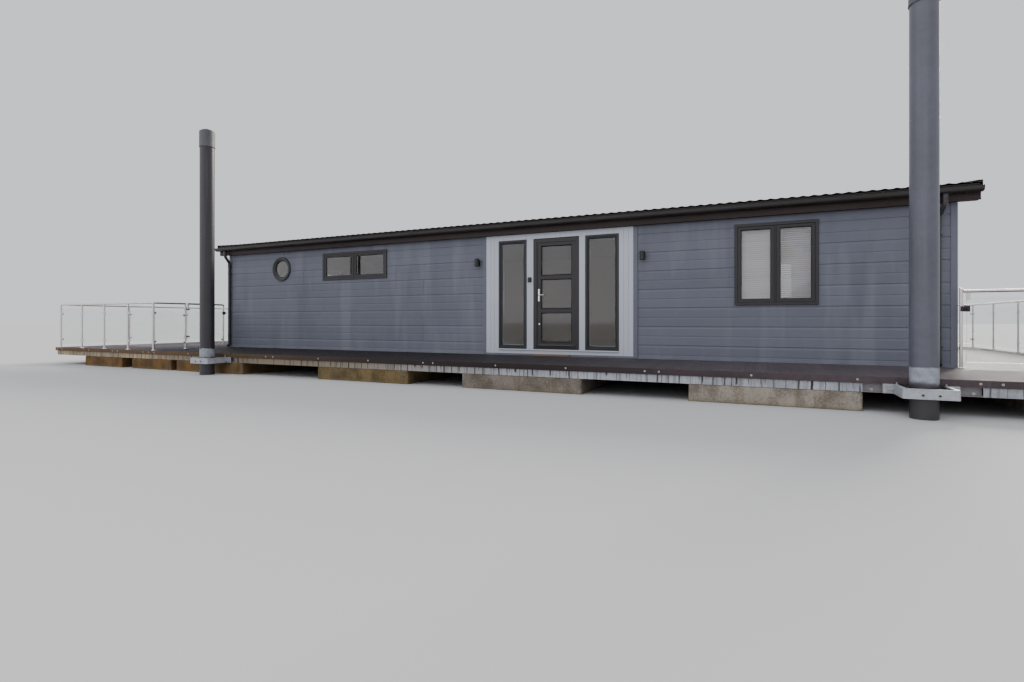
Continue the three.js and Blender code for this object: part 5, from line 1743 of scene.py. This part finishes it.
# sections of (inwards from the rim's face, z)
channel = [
    (0, beam_low), (BEAM_WIDTH, beam_low), (BEAM_WIDTH, beam_low + FLANGE),
    (WEB, beam_low + FLANGE + 0.004), (WEB, beam_high - FLANGE - 0.004),
    (BEAM_WIDTH, beam_high - FLANGE), (BEAM_WIDTH, beam_high), (0, beam_high),
]
pocket = [
    (0, beam_low), (0, beam_low + FLANGE), (0.038, beam_low + FLANGE + 0.003),
    (0.038, EDGE_BOTTOM - 0.012), (0.001, EDGE_BOTTOM - 0.009), (0.001, EDGE_BOTTOM - 0.001),
    (BEAM_WIDTH, EDGE_BOTTOM - 0.001), (BEAM_WIDTH, beam_low),
]
FRONT_RUNS = [
    (-BEAM_X, -8.802), (-8.778, -6.882), (-6.858, -5.162), (-4.145, 0.555), (0.571, 6.758),
    (7.902, BEAM_X),
]
POCKETS = [(-5.160, -4.147), (6.760, 7.900)]
REAR_RUNS = [(-BEAM_X, -5.0), (-4.994, 0.6), (0.606, 5.4), (5.406, BEAM_X)]
PLATES_X = np.array([-8.79, -6.87, 0.563])
front_channel = [(-BEAM_Y + u, z) for u, z in channel]
rim = [
    prisms(front_channel, 0, FRONT_RUNS, seed=2),
    prisms([(BEAM_Y - u, z) for u, z in channel], 0, REAR_RUNS, seed=2),
]
for way in (-1, 1):
    ends = [(-BEAM_Y + 0.081, BEAM_Y - 0.081)]
    rim.append(prisms([(z, way * (BEAM_X - u)) for u, z in channel], 1, ends))
pockets = prisms([(-BEAM_Y + u, z) for u, z in pocket], 0, POCKETS, seed=3)
strap = box(
    (0.5555, -BEAM_Y + 0.004, beam_low - 0.020), (0.5705, -BEAM_Y + 0.030, EDGE_BOTTOM - 0.001), 0.001,
)
plates = boxes(
    [(x - 0.045, -BEAM_Y + WEB, beam_low + 0.02) for x in PLATES_X],
    [(x + 0.045, -BEAM_Y + WEB + 0.008, beam_high - 0.02) for x in PLATES_X], 0.001,
)
node = "pontoon_frame"
dress(node, "rim", rim, "beam", "galvanised")
dress(node, "pockets", pockets, "dull_zinc", "galvanised")
dress(node, "joints", [strap, plates], "dark_steel", "galvanised")


def i_section(centre):
    """An I section of (across, z): half of it, from the foot up, and the other half mirrored."""
    half, web = BEAM_WIDTH / 2, 0.004
    right = [
        (half, beam_low), (half, beam_low + FLANGE), (web, beam_low + FLANGE + 0.004),
        (web, beam_high - FLANGE - 0.004), (half, beam_high - FLANGE), (half, beam_high),
    ]
    outline = [(-half, beam_low), *right, *[(-u, z) for u, z in right[:0:-1]]]
    return [(centre + u, z) for u, z in outline]


JOISTS = [(((i + 1) / 10) - 0.5) * 2 * BEAM_X for i in range(9)]
bays = np.array([-BEAM_X, *JOISTS, BEAM_X])
stringer_spans = np.stack([bays[:-1] + 0.085, bays[1:] - 0.045], 1)
grid = [prisms([(z, x) for x, z in i_section(x)], 1, [(-BEAM_Y + 0.085, BEAM_Y - 0.085)]) for x in JOISTS]
grid += [prisms(i_section(y), 0, stringer_spans) for y in (-3, -1, 1, 3)]
dress(node, "grid", grid, "dark_steel", "galvanised")


def float_block(low, high):
    """A cast float: its section of (x, z) has a chamfered foot and cut edges, and is carried along
    Y with its first and last rings drawn in by the edge, so that all its corners are cut."""
    foot, edge = 0.090, 0.014
    rings = []
    for y, inward in ((low.y, edge), (low.y + edge, 0), (high.y - edge, 0), (high.y, edge)):
        x0, x1, z0, z1 = low.x + inward, high.x - inward, low.z + inward, high.z - inward
        rings.append([(x, y, z) for x, z in (
            (x0 + foot, z0), (x0, z0 + foot), (x0, z1 - edge), (x0 + edge, z1), (x1 - edge, z1),
            (x1, z1 - edge), (x1, z0 + foot), (x1 - foot, z0),
        )])
    return Shell(rings, capped(4, 8)).outward()


for i in range(1, 8):
    node = f"float_{i}"
    low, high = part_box(node)
    ribs = np.linspace(low.x, high.x, 5)[1:-1]
    parts = [float_block(low, high)]
    for y in (low.y, high.y):
        lows = [(x - 0.006, y - 0.003, low.z + 0.10) for x in ribs]
        highs = [(x + 0.006, y + 0.003, high.z - 0.016) for x in ribs]
        parts.append(boxes(lows, highs))
    dress(node, "casting", parts, "concrete", "concrete", smooth=False)


# Piles, caps and guides. Sections of (radius, z)

PILE_R, CAP_R, CAP_FOOT = 0.1365, 0.145, 4.622
for end in ("left", "right"):
    low, high = span("z", f"pile_{end}")
    x, y, _ = middle(f"pile_{end}")
    profile = [
        (0, low), (PILE_R - 0.003, low), (PILE_R, low + 0.003), (PILE_R, low + 0.03),
        (PILE_R, high - 0.03), (PILE_R, high - 0.003), (PILE_R - 0.003, high), (0, high),
    ]
    dress(f"pile_{end}", "tube", lathe(profile, 96, (x, y, 0)), "pile", "pile")
    apex = span("z", f"pile_cap_{end}")[1]
    dome = [
        (PILE_R + 0.0008, CAP_FOOT), (CAP_R, CAP_FOOT), (CAP_R + 0.002, CAP_FOOT + 0.004),
        (CAP_R + 0.002, CAP_FOOT + 0.022), (CAP_R, CAP_FOOT + 0.026), (CAP_R, high + 0.012),
        (CAP_R - 0.006, high + 0.024), (CAP_R * 0.62, high + 0.054), (CAP_R * 0.2, apex - 0.003),
        (0.004, apex), (0.004, high + GAP), (PILE_R + 0.0008, high + GAP),
    ]
    dress(f"pile_cap_{end}", "hood", lathe_ring(dome, 96, (x, y, 0)), "cap", "cap")

FACE_Y = PONTOON_Y[0] - HAIR
GUIDE_FRONT = span("y", "pile_guide_left")[0] + 0.010
GUIDE_LOW, GUIDE_TOP = span("z", "pile_guide_left")
ARM, FOOT, PLATE = 0.250, 0.365, 0.010
# The front roller's and the back roller's middle (y, z), half length and radius
ROLLERS = (
    (GUIDE_FRONT + 0.0285, 0.286, 0.060, 0.0285),
    (FACE_Y - 0.0800, 0.262, 0.100, 0.0260),
)
STUD_Y = FACE_Y - 0.040


def guide_plan(plate):
    """Half a guide's plan, from its foot on the pontoon to the middle of its front plate."""
    out, front = ARM + plate, GUIDE_FRONT - plate
    return [
        (FOOT, FACE_Y), (FOOT, FACE_Y - plate),
        *fillet([(out, FACE_Y - plate), (out, front), (0, front)], 0.034, 5),
        *fillet([(0, GUIDE_FRONT), (ARM, GUIDE_FRONT), (ARM, FACE_Y)], 0.024, 5),
    ]


def flange_plan():
    """Half the plan of a guide's flange, which runs inside its plates round the pile."""
    start, out, front = FACE_Y - 0.0104, ARM + 0.0095, GUIDE_FRONT - 0.0095
    inner, back = ARM - 0.034, GUIDE_FRONT + 0.034
    return [
        *fillet([(out, start), (out, front), (0, front)], 0.034, 5),
        *fillet([(0, back), (inner, back), (inner, start)], 0.012, 3),
    ]


GUSSET = [
    (ARM + 0.0102, FACE_Y - 0.0102), (ARM + 0.0102, FACE_Y - 0.070), (FOOT - 0.030, FACE_Y - 0.0102),
]
z0, z1 = GUIDE_LOW, GUIDE_TOP
# plan, and the heights between which it stands
GUIDE_PLATES = [
    (guide_plan(PLATE), [(z0, z1 - 0.020), (z1 - 0.016, z1)]),
    (guide_plan(PLATE - 0.004), [(z1 - 0.0205, z1 - 0.0155)]),
    (flange_plan(), [(z0 - GAP, z0 + 0.008)]),
    (flange_plan(), [(z1 - 0.008, z1 + GAP)]),
    (GUSSET, [(0.280, 0.288)]),
]
# end, and how far right of its guide's middle the pocket's second bolt stands
for end, bolt_right in (("left", 0.430), ("right", 0.505)):
    node = f"pile_guide_{end}"
    x = middle(node)[0]
    plates = []
    for way in (-1, 1):
        for plan, heights in GUIDE_PLATES:
            plates.append(prisms([(x + way * u, v) for u, v in plan], 2, heights))
    dress(node, "plates", plates, "galvanised", "galvanised", smooth=False)
    rollers = [rod((x - half, y, z), (x + half, y, z), radius, 32, 0.004) for y, z, half, radius in ROLLERS]
    dress(node, "rollers", rollers, "rubber", "anthracite")
    lugs = []
    for at, y_low, y_high, z_low, z_high in (
        (0.064, GUIDE_FRONT - GAP, GUIDE_FRONT + 0.045, 0.262, 0.310),
        (0.104, FACE_Y - 0.100, FACE_Y - 0.020, 0.238, 0.286),
    ):
        lows = [(x + s * at - 0.004, y_low, z_low) for s in (-1, 1)]
        highs = [(x + s * at + 0.004, y_high, z_high) for s in (-1, 1)]
        lugs.append(boxes(lows, highs, 0.001))
    lugs.append(box((x - ARM, FACE_Y - 0.026, z0 + 0.010), (x + ARM, FACE_Y - GAP, z0 + 0.060), 0.003))
    dress(node, "lugs", lugs, "galvanised", "galvanised", smooth=False)
    head = prisms([(v * 1.15, u * 1.15) for u, v in HEX], 1, [(-0.012, -GAP)])
    washer = lathe(rectangle(0, 0.019, -0.003, GAP), 24, axis=1)
    fixing = together(head.moved((0, -0.002, 0)), washer)
    spots = [(x + s * 0.325, FACE_Y - PLATE, z) for s in (-1, 1) for z in (0.2615, 0.3085)]
    spots += [(x + u, -BEAM_Y + 0.037, 0.265) for u in (-0.467, bolt_right)]
    stud_x = [x + s * (ARM - 0.017) for s in (-1, 1)]
    studs = [rod((at, STUD_Y, z1 - 0.030), (at, STUD_Y, z1 + 0.026), 0.008, 20) for at in stud_x]
    for at in stud_x:
        studs.append(prisms([(at + u, STUD_Y + v) for u, v in HEX], 2, [(z1 + 0.0008, z1 + 0.014)]))
    dress(node, "bolts", [copies(fixing, spots), *studs], "bolt", "galvanised")
    pins = copies(head, [(x + s * 0.075, GUIDE_FRONT - PLATE + 0.001, 0.280) for s in (-1, 1)])
    dress(node, "pins", pins, "lamp", "galvanised")


# Balustrades and gates

POST_R, RAIL_R = 0.020, 0.0215
RAIL_Z = 1.505
PANE_Z = (DECK_TOP + 0.090, DECK_TOP + 0.980)
PANE_EDGE = 0.034
CLAMP_Z = (DECK_TOP + 0.200, DECK_TOP + 0.850)
# a post's place, then for each stretch: the next corner, its bays, and where its first pane starts
LEFT_RUN = [
    (-6.85, -4.20),
    ((-6.85, -4.95), 1, 0.040),
    ((-10.60, -4.95), 4, 0.0),
    ((-10.60, 4.95), 6, 0.0),
    ((-6.85, 4.95), 3, 0.0),
    ((-6.85, 3.20), 2, 0.0),
]
RIGHT_RUN = [
    (9.20, -3.15),
    ((10.60, -3.15), 1, 0.040),
    ((10.60, 4.95), 6, 0.0),
    ((8.22, 4.95), 2, 0.0),
    ((8.22, 3.20), 2, 0.0),
]
# (radius, z over the deck): a plate with a collar, as a ring round the post
BASE_FLANGE = [
    (POST_R + HAIR, 0.0), (0.047, 0.0), (0.048, 0.001), (0.048, 0.006), (0.045, 0.009),
    (0.028, 0.010), (0.026, 0.013), (0.026, 0.024), (0.024, 0.026), (POST_R + HAIR, 0.026),
]


def base_flange(x, y):
    """A round foot on the deck."""
    return lathe_ring(BASE_FLANGE, 32, (x, y, DECK_TOP + HAIR))


def upright(x, y, top=RAIL_Z, foot=DECK_TOP + 0.001):
    """A round post."""
    return rod((x, y, foot), (x, y, top), POST_R, 28)


def across_of(along):
    """The flat direction across a flat direction along X or Y, without its sign."""
    return np.array([abs(along[1]), abs(along[0])])


def bar_between(a, b, half, z0, z1, chamfer=0.002):
    """A box between two places in plan, so much wide on both sides, from z0 to z1."""
    across = across_of(b - a) / np.linalg.norm(b - a) * half
    low = np.append(np.minimum(a, b) - across, z0)
    return box(low, np.append(np.maximum(a, b) + across, z1), chamfer)


def clamp(point, along, z):
    """A pane's clamp: a rounded block on the post that grips the pane's edge."""
    start = point + along * (POST_R - 0.004)
    return bar_between(start, start + along * 0.046, 0.0135, z - 0.023, z + 0.023, 0.004)


def guard(label, run):
    """Posts, a top rail bent round the corners, clamps and one glass pane for each bay."""
    corners = [run[0]] + [stop for stop, _, _ in run[1:]]
    path = fillet([(x, y, RAIL_Z) for x, y in corners], 0.055, 8)
    steel, panes, posts = [tube(path, RAIL_R, 24)], [], [np.array(run[0])]
    start = np.array(run[0])
    for stop, bays, pane_from in run[1:]:
        stop = np.array(stop)
        length = np.linalg.norm(stop - start)
        along = (stop - start) / length
        for i in range(bays):
            a, b = start + along * length * i / bays, start + along * length * (i + 1) / bays
            posts.append(b)
            lowered = 0.045 if pane_from else 0.0
            steel += [clamp(a, along, z - lowered) for z in CLAMP_Z]
            steel += [clamp(b, -along, z) for z in CLAMP_Z]
            first = a + along * max(PANE_EDGE, pane_from + 0.004 if pane_from else PANE_EDGE)
            panes.append(bar_between(first, b - along * PANE_EDGE, 0.005, *PANE_Z, 0.0012))
        start = stop
    node = f"balustrade_{label}"
    steel += [upright(*post) for post in posts]
    steel += [base_flange(*post) for post in posts]
    dress(node, "rail_and_posts", steel, "stainless", "stainless")
    dress(node, "panes", panes, "rail_glass", "glass")


guard("left", LEFT_RUN)
guard("right", RIGHT_RUN)
node = "gate_post_right"
gate_x, gate_y, _ = middle(node)
post_top = span("z", node)[1]
knob = [(0, -0.006), (POST_R + 0.002, -0.006), (POST_R + 0.002, 0.002), (POST_R * 0.6, 0.0065), (0, 0.008)]
post_parts = [
    upright(gate_x, gate_y, post_top - 0.001), base_flange(gate_x, gate_y),
    lathe(knob, 32, (gate_x, gate_y, post_top - 0.006)),
]
dress(node, "tube", post_parts, "stainless", "stainless")
HINGE_Z = (DECK_TOP + 0.270, DECK_TOP + 0.920)
COLLAR = 0.044
# (radius, z over the hinge's foot)
COLLAR_RING = [
    (0.0208, 0), (0.029, 0), (0.030, 0.001), (0.030, COLLAR - 0.001), (0.029, COLLAR), (0.0208, COLLAR),
]


def gate(label, hinge, end, pane_to, latch, latch_z, has_stile):
    """Two collars on the hinge post carry a railed pane. The latch is on a stile at the rail's end,
    or on the pane itself, which a strap then hangs from the rail."""
    hinge, stile = np.array(hinge), np.array(end)
    along = unit(stile - hinge)

    def stretch(start, stop, *sizes):
        """A bar along the gate, from so far to so far from its hinge."""
        return bar_between(hinge + along * start, hinge + along * stop, *sizes)

    steel = [lathe_ring(COLLAR_RING, 40, (*hinge, z)) for z in HINGE_Z]
    steel += [stretch(0.0285, 0.104, 0.013, z + 0.004, z + COLLAR - 0.004) for z in HINGE_Z]
    steel.append(upright(*(hinge + along * 0.068), foot=HINGE_Z[1] + COLLAR - 0.006))
    rail = [(*(hinge + along * 0.046), RAIL_Z), (*stile, RAIL_Z)]
    if has_stile:
        steel.append(upright(*stile, foot=DECK_TOP + 0.060))
        rail = fillet([*rail, (*stile, RAIL_Z - 0.060)], 0.040, 8)
        steel.append(lathe(rectangle(0, POST_R + 0.001, 0.0, 0.006), 28, (*stile, DECK_TOP + 0.0585)))
        steel.append(clamp(stile, -along, CLAMP_Z[0]))
    else:
        steel.append(stretch(pane_to - 0.040, pane_to, 0.009, PANE_Z[1] - 0.025, RAIL_Z))
    steel.append(tube(rail, RAIL_R, 24))
    z0, z1 = latch_z
    bolt_from = min(latch[1], latch[0] + 0.062)
    lock = [stretch(latch[0], bolt_from, 0.030, z0, z1, 0.004)]
    if latch[1] > bolt_from + 0.005:
        lock.append(stretch(bolt_from - 0.002, latch[1], 0.012, z0 + 0.030, z0 + 0.055, 0.003))
    side = np.append(across_of(along), 0) * 0.030
    knob_at = np.append(hinge + along * (latch[0] + 0.030), z0 + 0.042)
    lock += [rod(knob_at + side * way, knob_at + side * way * 1.85, 0.015, 28, 0.003) for way in (-1, 1)]
    node, body = f"gate_{label}", f"{label}_gate"
    dress(node, "frame", steel, "stainless", "stainless", body)
    dress(node, "pane", stretch(0.056, pane_to, 0.005, *PANE_Z, 0.0012), "rail_glass", "glass", body)
    dress(node, "latch", lock, "lamp", "lamp", body)


gate("left", (-6.85, -4.20), (-6.85, -3.20), 0.966, (0.979, 1.090), (1.255, 1.335), True)
gate("right", (9.20, -3.15), (8.218, -3.15), 0.948, (0.915, 0.978), (1.220, 1.300), False)
keeper = box((gate_x - 0.012, gate_y - 0.032, 1.224), (gate_x + 0.0245, gate_y + 0.024, 1.296), 0.004)
piece("gate_post_right_keeper", keeper, "lamp", "lamp")

# The cabin floor's own shape is right
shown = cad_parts["cabin_floor"]
shown.data.materials.clear()
shown.data.materials.append(FINISHES["floor"])


# Stage

FLOOR_SIZE = 260.0
# name: tilt and turn in degrees, spread, strength and colour
SUNS = {
    "key_back_right": (64, 164, 20, 4.4, (1.0, 0.94, 0.86)),
    "fill_front_left": (52, -28, 90, 1.1, (0.97, 0.98, 1.0)),
}


def stage():
    """A plain pale floor on the waterline, a soft pale sky, a warm key from behind and a wide fill."""
    mesh = bpy.data.meshes.new("studio_floor")
    corners = [(x, y, 0) for x, y in rectangle(-FLOOR_SIZE, FLOOR_SIZE, -FLOOR_SIZE, FLOOR_SIZE)]
    mesh.from_pydata(corners, [], [(0, 1, 2, 3)])
    ground = bpy.data.objects.new("studio_floor", mesh)
    plain = bpy.data.materials.new("studio_floor")
    plain.use_nodes = True
    plain.node_tree.nodes["Principled BSDF"].inputs["Base Color"].default_value = rgb("bcbcbc")
    plain.node_tree.nodes["Principled BSDF"].inputs["Roughness"].default_value = 0.9
    mesh.materials.append(plain)
    bpy.context.scene.collection.objects.link(ground)
    world = bpy.data.worlds.new("studio")
    world.use_nodes = True
    world.node_tree.nodes["Background"].inputs["Color"].default_value = (0.86, 0.88, 0.93, 1)
    world.node_tree.nodes["Background"].inputs["Strength"].default_value = 1.05
    bpy.context.scene.world = world
    for name, (tilt, turn, spread, strength, colour) in SUNS.items():
        data = bpy.data.lights.new(name, "SUN")
        data.angle = math.radians(spread)
        data.energy = strength
        data.color = colour
        sun = bpy.data.objects.new(name, data)
        sun.rotation_euler = (math.radians(tilt), 0, math.radians(turn))
        bpy.context.scene.collection.objects.link(sun)


stage()
bpy.context.view_layer.update()
